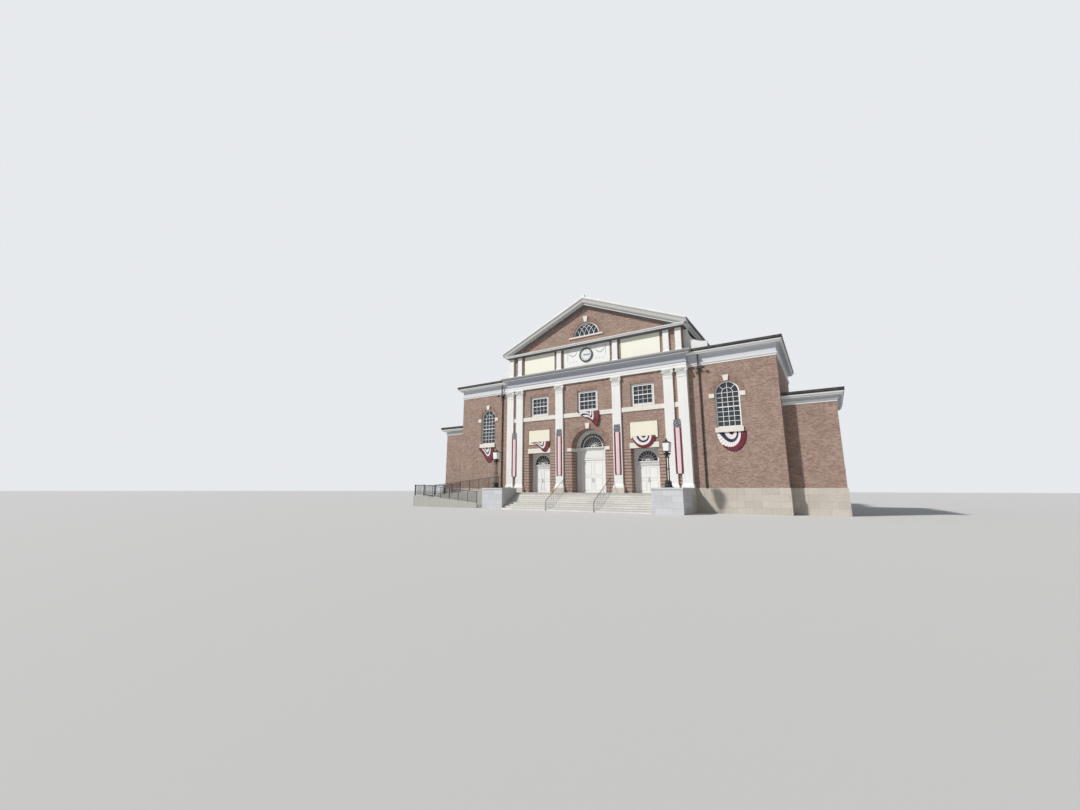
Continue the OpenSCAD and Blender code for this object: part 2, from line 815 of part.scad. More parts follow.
// Scrolled parapets that sweep down from the attic storey to the wings' roofs
module scroll_parapets() {
    r = 1400;
    x1 = attic_half + scroll_run;
    mid = attic_z + 100;
    color(white) both() translate([0, scroll_y + scroll_t, 0]) rotate([90, 0, 0])
        linear_extrude(scroll_t) difference() {
            translate([attic_half, cornice_z]) square([scroll_run, attic_z - cornice_z]);
            translate([x1 - 160, mid]) circle(r);
            translate([x1 - 160, mid - r]) square([400, r + 1]);
        }
}

// Stone belt course under the upper windows
module belt_course() {
    z = sash_z - 430;
    a = pil_c + pil_w / 2;
    color(white) {
        slab(pil_w / 2 - pil_c, pil_c - pil_w / 2, -70, 0, z, z + 400);
        both() {
            slab(a, pil_b - pil_w / 2, -70, 0, z, z + 400);
            slab(pil_b + pil_w / 2, pil_a - pil_w / 2, -70, 0, z, z + 400);
        }
    }
}

// Lintels, imposts, keystones and sills
module stone_dressings() {
    impost_w = 400;
    lintel_half = side_half + 70;
    color(white) both() {
        slab(side_x - lintel_half, side_x + lintel_half, -40, 0, lintel_z, lintel_z + 450);
        slab(arch_r, arch_r + 440, -60, 0, spring_z - 300, spring_z);
        for (s = [-1, 1])
            slab(wing_win_x + s * (wing_win_r + 20 + impost_w / 2) - impost_w / 2,
                wing_win_x + s * (wing_win_r + 20 + impost_w / 2) + impost_w / 2,
                wing_set - 60, wing_set, wing_spring_z - 370, wing_spring_z - 20);
        keystone(wing_win_x, wing_spring_z + wing_win_r, 470, wing_set);
        slab(wing_win_x - wing_win_r - 100, wing_win_x + wing_win_r + 100, wing_set - 140,
            wing_set, wing_win_z - 380, wing_win_z);
    }
    color(white) {
        keystone(0, spring_z + arch_r, 520, 0);
        keystone(0, lunette_z + lunette_r, 560, 0);
        slab(-1780, 1780, -120, 0, lunette_z - 130, lunette_z);
    }
}

// Wedge shaped keystone that stands on an arch's crown at z
module keystone(x, z, h, y) {
    translate([x, y, z]) rotate([90, 0, 0]) linear_extrude(110)
        polygon([[-150, 10], [150, 10], [230, h], [-230, h]]);
}

// Main roof of two slopes
module main_roof() {
    half = attic_half + eave_out;
    over = rake_out - 70 - seat_air;
    color(slate) translate([0, hall_depth + over, 0]) rotate([90, 0, 0])
        linear_extrude(hall_depth + 2 * over)
            polygon([[-half, eave_z], [0, ridge_z], [half, eave_z],
                [half, eave_z - roof_t], [0, ridge_z - roof_t], [-half, eave_z - roof_t]]);
}

// Low roofs of the wings, hipped at the outer end
module wing_roofs() {
    e = crown_out - 20;
    y0 = wing_set - e;
    y1 = wing_end + e;
    color(slate) both() difference() {
        union() {
            slab(hall_half, wing_half + e, y0, y1, wing_top, cornice_z);
            hull() {
                slab(attic_half, wing_half + e, y0, y1, cornice_z, cornice_z + 10);
                slab(attic_half, wing_half - 4500, y0 + 5200, y1 - 5200, cornice_z, cornice_z + 900);
            }
        }
        entablature_block();
        slab(attic_half - 1, cornice_x, y0 - 1, wing_set, cornice_z - 1, cornice_z + 900);
        slab(attic_half - 1, attic_half + scroll_run, scroll_y, scroll_y + scroll_t,
            cornice_z, attic_z);
    }
}

// Low roofs of the annexes, hipped at the outer end
module annex_roofs() {
    e = crown_out - 20;
    z = annex_top + 200;
    color(slate) both() union() {
        slab(wing_half, annex_half + e, annex_set - e, annex_end + e, annex_top, z);
        hull() {
            slab(wing_half, annex_half + e, annex_set - e, annex_end + e, z, z + 10);
            slab(wing_half, annex_half - 2200, annex_set + 2600, annex_end - 2600, z, z + 480);
        }
    }
}

// Dark gutters along the roofs of the wings and annexes
module gutters() {
    color(iron) difference() {
        both() {
            gutter(cornice_x, wing_half, wing_set, wing_end, wing_top);
            gutter(wing_half, annex_half, annex_set, annex_end, annex_top);
        }
        outer_mitres();
    }
}

// Gutter round three sides of a roof, at level z
module gutter(x0, x1, y0, y1, z) {
    e = crown_out - 20;
    prof = [[e, z], [e + 40, z], [e + 80, z + 80], [e + 80, z + 240]];
    difference() {
        moulding(x0, x1, y0, y1, prof, left = 0, back = 1);
        slab(x0 - 1, x1 + e, y0 - e, y1 + e, z - 1, z + 250);
    }
}

// Downpipes beside the centre block
module downspouts() {
    x = cornice_x + 400;
    y = wing_set - 90;
    r = 55;
    clip_gap = 2300;
    color(iron) both() {
        translate([x, y, base_h]) cylinder(r = r, h = arch_z - 260 - base_h);
        rod([x, y, arch_z - 270], [x, wing_set - 210, arch_z - 60], r);
        translate([x, wing_set - 210, arch_z - 70]) cylinder(r = r, h = wing_top - 220 - arch_z + 70);
        for (z = [base_h + 300:clip_gap:arch_z - 400])
            slab(x - 100, x + 100, y - 30, wing_set, z, z + 60);
    }
}

// Opening inside a window's casing, grown by g and between two depths
module sash_hole(g, y0, y1) {
    slab(casing_w - g - sash_half, sash_half - casing_w + g, y0, y1, casing_w - g,
        sash_h - casing_w + g);
}

// Stepped casing and meeting rail of a square headed window
module sash_frame() {
    bead = 55;
    step = 25;
    rail = 40;
    difference() {
        slab(-sash_half, sash_half, 0, frame_t, 0, sash_h);
        sash_hole(0, -1, frame_t + 1);
        difference() {
            sash_hole(casing_w - 1.5 * bead, -1, step);
            sash_hole(bead, -2, step + 1);
        }
    }
    slab(casing_w - sash_half, sash_half - casing_w, step + 5, frame_t - glass_t, sash_h / 2 - rail,
        sash_h / 2 + rail);
}

// Glass of a square headed window
module sash_pane() {
    sash_hole(0, frame_t - glass_t, frame_t);
}

// Places of the square headed windows: front, rear, hall sides and annexes
module at_sashes() {
    for (x = window_bays) {
        translate([x, frame_set, sash_z]) children();
        for (z = [low_sill_z, sash_z])
            translate([x, hall_depth - frame_set, z]) mirror([0, 1, 0]) children();
    }
    both() {
        for (y = hall_bays, z = [low_sill_z, sash_z])
            translate([hall_half - frame_set, y, z]) rotate([0, 0, 90]) children();
        translate([annex_half - frame_set, annex_mid, low_sill_z]) rotate([0, 0, 90]) children();
    }
}

// Frames of all the square headed windows
module sash_frames() {
    color(white) at_sashes() sash_frame();
}

// Glass of all the square headed windows
module sash_glass() {
    color(pane) at_sashes() sash_pane();
}

// Arched plates in the wings' windows, inset by w and between two depths of the frame
module wing_arches(w, a, b) {
    z = wing_win_z + w;
    r = wing_win_r - w;
    both() {
        arched(wing_win_x, r, z, wing_spring_z, wing_set + frame_set + a, wing_set + frame_set + b);
        arched(wing_win_x, r, z, wing_spring_z, wing_end - frame_set - b, wing_end - frame_set - a);
        side_arched(r, z, wing_half - frame_set - b, wing_half - frame_set - a);
    }
}

// Moulded half ring that stands out by out from a plate whose face is at y; its ends may
// lie above the circle's middle
module half_ring(x, r, w, z, y, out, flat = 0) {
    difference() {
        half_round(x, r + w, z, y - out, y, flat);
        half_round(x, r, z, y - out - 1, y + 1, flat - 1);
        half_round(x, r + w * 0.6, z, y - out - 1, y - out * 0.6, flat - 1);
    }
}

// White frames of the arched windows, the lunette and the fanlights
module arched_frames() {
    color(white) {
        window_frames();
        half_ring(0, main_fan_r, 75, spring_z + 100, main_set, 50);
        half_ring(0, arch_r - 90, 80, spring_z, main_set, 50, 90);
        both() half_ring(side_x, side_fan_r, 65, side_fan_z, side_set, 40);
    }
}

// Frames of the arched windows and the lunette
module window_frames() {
    difference() {
        union() {
            wing_arches(0, 0, frame_t);
            half_round(0, lunette_r, lunette_z, frame_set, frame_set + frame_t);
        }
        wing_arches(frame_w, -1, frame_t + 1);
        half_round(0, lunette_r - frame_w, lunette_z, frame_set - 1, frame_set + frame_t + 1, frame_w);
    }
}

// Glass of the arched windows and the lunette
module arched_glass() {
    a = (frame_t - glass_t) / 2;
    b = a + glass_t;
    color(pane) {
        wing_arches(frame_w, a, b);
        half_round(0, lunette_r - frame_w, lunette_z, frame_set + a, frame_set + b, frame_w);
    }
}

// Panelled doorcase of the main doorway with its fanlight opening
module main_doorcase() {
    color(white) difference() {
        arched(0, arch_r, floor_z, spring_z, main_set, main_set + case_t);
        slab(-main_door_half - leaf_gap, main_door_half + leaf_gap, main_set - 1,
            main_set + case_t + 1, floor_z - 1, main_door_z + leaf_gap);
        half_round(0, main_fan_r, spring_z + 100, main_set - 1, main_set + case_t + 1);
    }
}

// Panelled doorcases of the side doorways
module side_doorcases() {
    color(white) both() difference() {
        slab(side_x - side_half, side_x + side_half, side_set, side_set + case_t, floor_z, lintel_z);
        slab(side_x - side_door_half - leaf_gap, side_x + side_door_half + leaf_gap, side_set - 1,
            side_set + case_t + 1, floor_z - 1, side_door_z + leaf_gap);
        half_round(side_x, side_fan_r, side_fan_z, side_set - 1, side_set + case_t + 1);
    }
}

// Glass of the fanlights over the doors
module fanlight_glass() {
    a = (case_t - glass_t) / 2;
    b = a + glass_t;
    color(pane) {
        half_round(0, main_fan_r, spring_z + 100, main_set + a, main_set + b);
        both() half_round(side_x, side_fan_r, side_fan_z, side_set + a, side_set + b);
    }
}

// Heights of a leaf's hinges
function hinge_levels(h) = [250, (h - 3 * knuckle) / 2, h - 250 - 3 * knuckle];

// Door leaf with its pull handle; the hinge edge is at x = 0 and it reaches along +X
module leaf(w, h) {
    stile = 130;
    rail = 150;
    panel_h = (h - 3 * rail) / 2;
    color(white) difference() {
        union() {
            slab(0, w, 0, leaf_t, 0, h);
            for (z = hinge_levels(h))
                translate([0, 0, z + knuckle]) cylinder(r = hinge_r, h = knuckle);
        }
        for (k = [0, 1])
            slab(stile, w - stile, -1, 14, rail + k * (panel_h + rail), rail + k * (panel_h + rail) + panel_h);
        for (z = hinge_levels(h)) {
            translate([0, 0, z]) cylinder(r = pin_r + 0.1, h = 3 * knuckle);
            for (k = [0, 2]) translate([0, 0, z + k * knuckle - 0.3])
                cylinder(r = hinge_r + 0.5, h = knuckle + 0.6);
        }
    }
    color(iron) {
        translate([w - 70, -60, 950]) cylinder(r = 14, h = 320);
        for (z = [980, 1240]) rod([w - 70, 0, z], [w - 70, -60, z], 9);
    }
}

// Jamb halves of a leaf's hinges, with their pins
module jamb_hinges(h) {
    for (z = hinge_levels(h)) {
        translate([0, 0, z]) cylinder(r = pin_r, h = 3 * knuckle);
        slab(-leaf_gap, plate_t - leaf_gap, -hinge_r, leaf_t - 12, z, z + 3 * knuckle);
        for (k = [0, 2]) {
            translate([0, 0, z + k * knuckle]) cylinder(r = hinge_r, h = knuckle);
            slab(-leaf_gap, 0, -plate_t, plate_t, z + k * knuckle, z + (k + 1) * knuckle);
        }
    }
}

// Puts a leaf or its hinges in a doorway: side 1 is hinged at the left, -1 at the right
module in_doorway(x, half, y, side) {
    translate([x, y, floor_z + leaf_gap]) scale_x(side) translate([-half, 0, 0]) children();
}

// Door leaf in its doorway, up to the level top
module leaf_at(x, half, y, top, side) {
    in_doorway(x, half, y, side) leaf(half - leaf_gap / 2, top - floor_z - leaf_gap);
}

module main_door_left() { leaf_at(0, main_door_half, main_leaf_y, main_door_z, 1); }
module main_door_right() { leaf_at(0, main_door_half, main_leaf_y, main_door_z, -1); }
module left_door_left() { leaf_at(-side_x, side_door_half, side_leaf_y, side_door_z, 1); }
module left_door_right() { leaf_at(-side_x, side_door_half, side_leaf_y, side_door_z, -1); }
module right_door_left() { leaf_at(side_x, side_door_half, side_leaf_y, side_door_z, 1); }
module right_door_right() { leaf_at(side_x, side_door_half, side_leaf_y, side_door_z, -1); }

// Fixed halves of all the door hinges
module door_hinges() {
    color(iron) for (side = [-1, 1]) {
        in_doorway(0, main_door_half, main_leaf_y, side)
            jamb_hinges(main_door_z - floor_z - leaf_gap);
        for (x = [-side_x, side_x])
            in_doorway(x, side_door_half, side_leaf_y, side)
                jamb_hinges(side_door_z - floor_z - leaf_gap);
    }
}

// Scroll at the foot of a lamp standard, set against the block at its middle
module foot_scroll() {
    translate([0, 35, 0]) rotate([90, 0, 0]) linear_extrude(70) {
        translate([215, 128]) circle(75);
        translate([205, 330]) circle(50);
        polygon([[150, 50], [270, 95], [225, 250], [250, 310], [150, 405]]);
    }
}

// One column of a lamp standard's cluster, with its foot and a collar half way
module lamp_column(h) {
    m = h / 2;
    rotate_extrude() polygon([[0, 0], [42, 0], [42, 60], [24, 110], [24, m - 70], [36, m - 50],
        [36, m], [24, m + 30], [21, h - 90], [40, h - 50], [44, h], [0, h]]);
}

// Cast standard: plinth, block with scroll feet, four slender columns and a tray
module lamp_standard() {
    block_top = 470;
    bundle = 118;
    column_h = lamp_h - block_top - 400;
    head = block_top + column_h;
    slab(-290, 290, -290, 290, 0, 60);
    slab(-165, 165, -165, 165, 60, block_top - 60);
    slab(-200, 200, -200, 200, block_top - 70, block_top);
    for (a = [0:90:270]) rotate([0, 0, a]) {
        foot_scroll();
        rotate([0, 0, 45]) translate([bundle, 0, block_top - 10]) lamp_column(column_h + 10);
        rotate([0, 0, 45]) rod([bundle, 0, head - 20], [2 * bundle, 0, head + 220], 20);
    }
    for (z = [block_top + 40, (block_top + head) / 2, head - 50])
        translate([0, 0, z]) cylinder(r = bundle + 55, h = 36);
    translate([0, 0, head]) rotate_extrude()
        polygon([[0, -30], [60, 0], [75, 100], [150, 170], [270, 215], [285, 250], [285, 285],
            [130, 310], [100, 360], [205, 385], [205, 400], [0, 400]]);
}

// Pyramid cap of a lantern with its finial
module lantern_cap() {
    slope_w = lantern_w / 2 + 25 - 70;
    moulding(-70, 70, -70, 70, [[slope_w, 0], [slope_w, 25], [0, 155]], back = 1);
    translate([0, 0, 150]) rotate_extrude() polygon([[0, -60], [55, -60], [55, 15], [100, 45],
        [50, 85], [30, 120], [50, 150], [20, 180], [0, 205]]);
}

// Cast lamp standards on the cheek walls, and the caps of their lanterns
module lamp_standards() {
    color(iron) both() translate([lamp_x, lamp_y, base_h]) {
        lamp_standard();
        translate([0, 0, lamp_h + lantern_h]) lantern_cap();
    }
}

// Lanterns of the lamps, wider at the top
module lamp_lanterns() {
    foot = lantern_w / 2 - 50;
    color(pane) both() translate([lamp_x, lamp_y, base_h + lamp_h])
        moulding(-foot, foot, -foot, foot, [[0, 0], [50, lantern_h]], back = 1);
}

// Iron handrails on the steps, bent down at the foot, with a baluster on every step
module step_handrails() {
    slope = riser / going;
    y0 = -cheek_front - grip_foot;
    bend = grip_bend;
    y1 = -pil_out - plinth_out - 60;
    top = grip_h + (y1 - y0 - bend) * slope;
    r = 21;
    path = [[0, y0, 0], [0, y0, grip_h - 2 * bend], [0, y0 + bend * 0.3, grip_h - bend * 0.7],
        [0, y0 + bend, grip_h], [0, y1, top]];
    color(iron) both() translate([grip_x, 0, 0]) {
        for (i = [1:len(path) - 1]) rod(path[i - 1], path[i], r);
        for (i = [1:len(path) - 1]) translate(path[i]) sphere(r + 4);
        for (k = [0:risers - 2]) baluster(-cheek_front + (k + 0.5) * going, (k + 1) * riser);
        for (y = [-landing_d + going / 2:going:y1 - going / 2]) baluster(y, floor_z);
        translate([0, y1, floor_z]) cylinder(r = r, h = top - floor_z);
    }
}

// Upright of a handrail at depth y, from level z to the rail
module baluster(y, z) {
    rail = grip_h + (y + cheek_front + grip_foot - grip_bend) * riser / going;
    translate([0, y, z]) cylinder(r = 10, h = rail - z);
}

// Outline of a ramp lane in X and Z, raised by h over its surface; the lane starts at the
// turning platform's edge and rises or falls to x, z
function lane(x, z, h) = [[x, 0], [x, z + h], [platform_x, platform_z + h], [platform_x, 0]];

// Upright plate with an outline in X and Z, between two depths
module plate(points, y0, y1) {
    translate([0, y1, 0]) rotate([90, 0, 0]) linear_extrude(y1 - y0) polygon(points);
}

// Accessible ramp: two lanes and a turning platform, with low walls at their edges
module ramp() {
    color(granite) ramp_mass();
}

// Lanes, platform and low walls of the ramp in one piece
module ramp_mass() {
    wall_y = outer_y - lane_w - curb_t;
    plate(lane(-cheek_half, floor_z, 0), ramp_y - lane_w, ramp_y);
    plate(lane(-cheek_half, floor_z, curb_h), ramp_y - lane_w - curb_t, ramp_y - lane_w);
    plate(lane(ramp_foot, 0, 0), outer_y - lane_w, outer_y);
    plate(lane(ramp_foot, 0, curb_h), wall_y, outer_y - lane_w);
    slab(platform_end, platform_x, outer_y - lane_w, ramp_y, 0, platform_z);
    slab(platform_end - curb_t, platform_end, wall_y, ramp_y + curb_t, 0, platform_z + curb_h);
    slab(platform_end, platform_x, wall_y, outer_y - lane_w, 0, platform_z + curb_h);
    slab(platform_end, platform_x, ramp_y, ramp_y + curb_t, 0, platform_z + curb_h);
    intersection() {
        plate(lane(-cheek_half, floor_z, curb_h), ramp_y, ramp_y + curb_t);
        slab(platform_x, -wing_half - base_out, ramp_y, ramp_y + curb_t, 0, 3 * floor_z);
    }
}

// Straight railing between two points on the wall tops, with upright posts at even spaces
module railing(p, q) {
    n = max(1, round(norm(q - p) / 1300));
    rod(p + [0, 0, rail_h], q + [0, 0, rail_h], 26, 8);
    rod(p + [0, 0, 120], q + [0, 0, 120], 16, 4);
    if (n > 1)
        for (i = [1:n - 1]) translate(p + (q - p) * i / n + [-18, -18, -20])
            cube([36, 36, rail_h + 10]);
    for (e = [p, q]) {
        translate(e + [-25, -25, -20]) cube([50, 50, rail_h + 10]);
        translate(e + [-40, -40, rail_h - 45]) cube([80, 80, 90]);
    }
}

// Iron railings of the ramp, one for each straight stretch
module ramp_railings() {
    edge = curb_t / 2;
    apart = 100;
    y_in = ramp_y - lane_w - edge;
    y_out = outer_y - lane_w - edge;
    y_back = ramp_y + edge;
    top = platform_z + curb_h;
    x_end = platform_end - edge;
    x_wing = -wing_half - base_out - 60;
    color(iron) difference() {
        union() {
            railing([-cheek_half - 60, y_in, floor_z + curb_h - 60 / ramp_slope],
                [platform_x + 30, y_in, top + 30 / ramp_slope]);
            railing([ramp_foot - 60, y_out, curb_h + 60 / ramp_slope], [platform_x + 60, y_out, top]);
            railing([platform_x + 60 - apart, y_out, top], [x_end, y_out, top]);
            railing([x_end, y_out + apart, top], [x_end, y_back - apart, top]);
            railing([x_end, y_back, top], [platform_x, y_back, top]);
            railing([platform_x + apart, y_back, top + apart / ramp_slope],
                [x_wing, y_back, top + (x_wing - platform_x) / ramp_slope]);
        }
        ramp_mass();
    }
}

// Striped cloth hung in front of the pilasters
module hung_banners() {
    y = -pil_out - cloth_gap;
    color(cloth) both() for (x = [(pil_a + pil_b) / 2, pil_c])
        slab(x - 310, x + 310, y - 20, y, 3000, 7360);
}

// Pleated half round bunting under the windows and over the side doors
module fan_bunting() {
    color(cloth) {
        fan(0, -110 - cloth_gap, sash_z - 30, 1350);
        both() {
            fan(side_x, -40 - cloth_gap, lintel_z + 1000, 1000);
            fan(wing_win_x, wing_set - cloth_gap, wing_win_z - 381, 1450);
        }
    }
}

// One fan of cloth, flat side up, whose back is at y
module fan(x, y, z, drop) {
    translate([x, y, z]) rotate([90, 0, 0]) linear_extrude(60)
        polygon([for (a = [180:12:360]) [fan_half * cos(a), drop * sin(a)]]);
}

stone_base();
ground_floor();
upper_floor();
landing();
front_steps();
cheek_walls();
front_piers();
doorway_heads();
arch_wall();
upper_front_wall();
attic_wall();
front_gable();
hall_side_walls();
hall_rear_wall();
wing_front_walls();
wing_side_walls();
wing_rear_walls();
annex_front_walls();
annex_side_walls();
annex_rear_walls();
pilasters();
pilaster_capitals();
pilaster_plinths();
entablature();
low_cornices();
attic_pilasters();
painted_panels();
clock_face();
clock_ring();
pediment_cornice();
raking_cornice();
scroll_parapets();
belt_course();
stone_dressings();
main_roof();
wing_roofs();
annex_roofs();
gutters();
downspouts();
sash_frames();
arched_frames();
sash_glass();
arched_glass();
main_doorcase();
side_doorcases();
fanlight_glass();
main_door_left();
main_door_right();
left_door_left();
left_door_right();
right_door_left();
right_door_right();
door_hinges();
lamp_standards();
lamp_lanterns();
step_handrails();
ramp();
ramp_railings();
hung_banners();
fan_bunting();
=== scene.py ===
import math
import random

import bmesh
import bpy
from mathutils import Matrix, Vector


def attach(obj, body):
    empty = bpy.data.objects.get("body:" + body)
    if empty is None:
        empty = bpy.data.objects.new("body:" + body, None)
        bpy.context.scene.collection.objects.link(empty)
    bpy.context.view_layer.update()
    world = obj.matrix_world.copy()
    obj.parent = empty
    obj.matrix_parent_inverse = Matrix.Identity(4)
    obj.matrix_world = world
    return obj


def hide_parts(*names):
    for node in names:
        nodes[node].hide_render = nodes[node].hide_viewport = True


# Red brick town hall with a temple front: its finishes, glazing bars, carving, ironwork
# and hung cloth. X runs along the front, Y into the building and Z up, in metres.

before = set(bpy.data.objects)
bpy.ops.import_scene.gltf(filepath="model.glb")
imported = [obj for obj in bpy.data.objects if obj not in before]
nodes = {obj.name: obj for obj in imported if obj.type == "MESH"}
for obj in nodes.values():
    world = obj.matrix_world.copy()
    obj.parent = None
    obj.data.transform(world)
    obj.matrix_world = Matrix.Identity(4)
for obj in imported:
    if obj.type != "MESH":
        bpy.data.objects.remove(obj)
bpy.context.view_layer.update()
random.seed(1911)

# Places of the walls and storeys, as in the part's source
HALL_HALF, HALL_DEPTH = 9.05, 24.0
WING_HALF, WING_SET, WING_END = 15.62, 0.29, 11.79
ANNEX_HALF, ANNEX_SET, ANNEX_END = 19.0, 1.32, 8.32
BASE_TOP, FLOOR = 1.9, 1.485
ARCHITRAVE, CORNICE, ATTIC_CORNICE = 11.67, 13.05, 15.1
SLOPE = 0.43
RIDGE = 15.78 + (8.87 + 0.62) * SLOPE
SHAFT_HALF, SHAFT_OUT = 0.4, 0.16
PILASTERS = (2.93, 7.58, 8.73)
MAIN_ARCH, MAIN_SPRING, MAIN_FAN, MAIN_RECESS = 1.70, 5.52, 5.62, 0.99
SIDE_DOOR, SIDE_FAN, SIDE_RECESS = 5.27, 4.15, 0.69
SASH_HALF, SASH_HEIGHT, UPPER_SILL, LOWER_SILL = 1.05, 2.0, 8.83, 3.3
FRAME_SET, FRAME_WIDTH, CASING = 0.14, 0.11, 0.24
ARCH_WINDOW, ARCH_HALF, ARCH_SILL, ARCH_SPRING = 11.99, 0.915, 6.5, 9.245
LUNETTE_HALF, LUNETTE_SILL = 1.36, 16.16
CLOCK_HEIGHT = 14.23
STEPS, STEP_RISE, STEP_GOING, STEPS_FRONT, STEPS_HALF = 9, 0.165, 0.28, -3.61, 6.928

# Sizes of the bricks and of the thin bars of wood in the windows
COURSE, BRICK_LENGTH, RAISED = 0.067, 0.213, 0.006
BAR, THIN_BAR, LUNETTE_BAR, SPOKE = 0.038, 0.028, 0.034, 0.022


def make_camera():
    """Camera at the photograph's viewpoint: eye level before the right wing, turned left."""
    yaw, pitch, roll = (math.radians(a) for a in (33.10, 10.996, 0.121))
    look = Vector((-math.sin(yaw) * math.cos(pitch), math.cos(yaw) * math.cos(pitch),
                   math.sin(pitch)))
    right = Vector((math.cos(yaw), math.sin(yaw), 0))
    up = right.cross(look)
    tilted_right = math.cos(roll) * right + math.sin(roll) * up
    tilted_up = math.cos(roll) * up - math.sin(roll) * right
    lens = bpy.data.cameras.new("photo_view")
    lens.sensor_width, lens.lens, lens.clip_end = 36.0, 14.613, 2000
    camera = bpy.data.objects.new("photo_view", lens)
    turn = Matrix((tilted_right, tilted_up, -look)).transposed().to_4x4()
    camera.matrix_world = Matrix.Translation((18.019, -35.609, 1.70)) @ turn
    bpy.context.scene.collection.objects.link(camera)
    bpy.context.scene.camera = camera


make_camera()


# Shader nodes

def put(tree, kind, inputs=None, **settings):
    """Adds a shader node, sets its options, and fills its inputs with values or links."""
    made = tree.nodes.new("ShaderNode" + kind)
    for name, value in settings.items():
        setattr(made, name, value)
    for name, value in (inputs or {}).items():
        if isinstance(value, bpy.types.NodeSocket):
            tree.links.new(value, made.inputs[name])
        else:
            made.inputs[name].default_value = value
    return made


def calc(tree, operation, *values):
    """Result of a sum on masks or values."""
    return put(tree, "Math", dict(enumerate(values)), operation=operation).outputs[0]


def ramp(tree, value, low, high, start=0.0, end=1.0):
    """Value spread from start to end as it goes from low to high."""
    return put(tree, "MapRange", {"Value": value, "From Min": low, "From Max": high,
                                  "To Min": start, "To Max": end},
               interpolation_type="SMOOTHSTEP").outputs[0]


def mixed(tree, share, under, over, way="MIX"):
    """Colour under with a share of the colour over laid on it."""
    return put(tree, "Mix", {0: share, 6: under, 7: over},
               data_type="RGBA", blend_type=way).outputs[2]


def stained(tree, tone, mask, low, high, most, stain, way="MIX"):
    """Tone with a stain that rises to its most as the mask goes from low to high."""
    return mixed(tree, ramp(tree, mask, low, high, 0.0, most), tone, stain, way)


def picked(tree, share, first, second):
    """First value, or the second one where the share is 1."""
    return put(tree, "Mix", {0: share, 2: first, 3: second}).outputs[0]


def noise(tree, vector, scale, detail=2.0, rough=0.5):
    """Cloudy noise, from 0 to 1."""
    return put(tree, "TexNoise", {"Vector": vector, "Scale": scale, "Detail": detail,
                                  "Roughness": rough}).outputs[0]


def coordinates(tree, kind="Object"):
    """Object coordinates of a point, or with Normal the way its face looks."""
    return put(tree, "TexCoord").outputs[kind]


def cloth_map(tree, name):
    """Place on a cloth, read from one of its UV maps."""
    return put(tree, "UVMap", uv_map=name).outputs[0]


def split(tree, vector):
    """The X, Y and Z of a vector."""
    return put(tree, "SeparateXYZ", {0: vector}).outputs


def joined(tree, x, y):
    """Flat vector of two values."""
    return put(tree, "CombineXYZ", {0: x, 1: y}).outputs[0]


def stretched(tree, vector, x, y, z):
    """Coordinates scaled by their own factor along each axis."""
    return put(tree, "Mapping", {"Vector": vector, "Scale": (x, y, z)}).outputs[0]


def coursed(tree, plane, dark, pale, mortar, size, joint, soft, bias=0.0, **bond):
    """Blocks in courses between joints; size gives the length and the rise of a block."""
    return put(tree, "TexBrick", {
        "Vector": plane, "Color1": dark, "Color2": pale, "Mortar": mortar, "Scale": 1.0,
        "Mortar Size": joint, "Mortar Smooth": soft, "Bias": bias, "Brick Width": size[0],
        "Row Height": size[1]}, offset=0.5, **bond).outputs


def colour(r, g, b):
    """Opaque colour in linear light."""
    return (r, g, b, 1.0)


def new_group(name, inputs, outputs):
    """Empty node group, with its input sockets and its output node."""
    tree = bpy.data.node_groups.new(name, "ShaderNodeTree")
    for label, value in inputs:
        socket = tree.interface.new_socket(label, in_out="INPUT", socket_type="NodeSocketFloat")
        socket.default_value = value
    for label, kind in outputs:
        tree.interface.new_socket(label, in_out="OUTPUT", socket_type="NodeSocket" + kind)
    return tree, tree.nodes.new("NodeGroupInput").outputs, tree.nodes.new("NodeGroupOutput").inputs


def make_wall_plane():
    """Coordinates along a wall and up it, or over a floor, whichever way the face looks."""
    tree, _, ends = new_group("wall_plane", [], [("Plane", "Vector")])
    at, facing = split(tree, coordinates(tree)), split(tree, coordinates(tree, "Normal"))
    side, level = (calc(tree, "GREATER_THAN", calc(tree, "ABSOLUTE", facing[axis]), 0.7)
                   for axis in ("X", "Z"))
    along, up = picked(tree, side, at["X"], at["Y"]), picked(tree, level, at["Z"], at["Y"])
    tree.links.new(joined(tree, along, up), ends["Plane"])
    return tree


def make_weather():
    """Soft blotches and rain streaks, both from 0 to 1."""
    tree, _, ends = new_group("weather", [], [("Blotches", "Float"), ("Streaks", "Float")])
    place = coordinates(tree)
    blotches = noise(tree, place, 0.9, 4.0, 0.6)
    streaks = noise(tree, stretched(tree, place, 5.0, 5.0, 0.35), 1.0, 3.0, 0.6)
    tree.links.new(ramp(tree, blotches, 0.35, 0.65), ends["Blotches"])
    tree.links.new(ramp(tree, streaks, 0.5, 0.75), ends["Streaks"])
    return tree


def make_grain():
    """Crystals of a cut stone: dark and pale specks of a given size."""
    tree, given, ends = new_group("stone_grain", [("Size", 0.012)],
                                  [("Grain", "Float"), ("Height", "Float")])
    place = coordinates(tree)
    scale = calc(tree, "DIVIDE", 1.0, given["Size"])
    cells = put(tree, "TexVoronoi", {"Vector": place, "Scale": scale}).outputs["Color"]
    soft = noise(tree, place, calc(tree, "MULTIPLY", scale, 0.35), 3.0)
    specks = put(tree, "SeparateColor", {0: cells}).outputs[0]
    tree.links.new(picked(tree, 0.5, specks, soft), ends["Grain"])
    tree.links.new(soft, ends["Height"])
    return tree


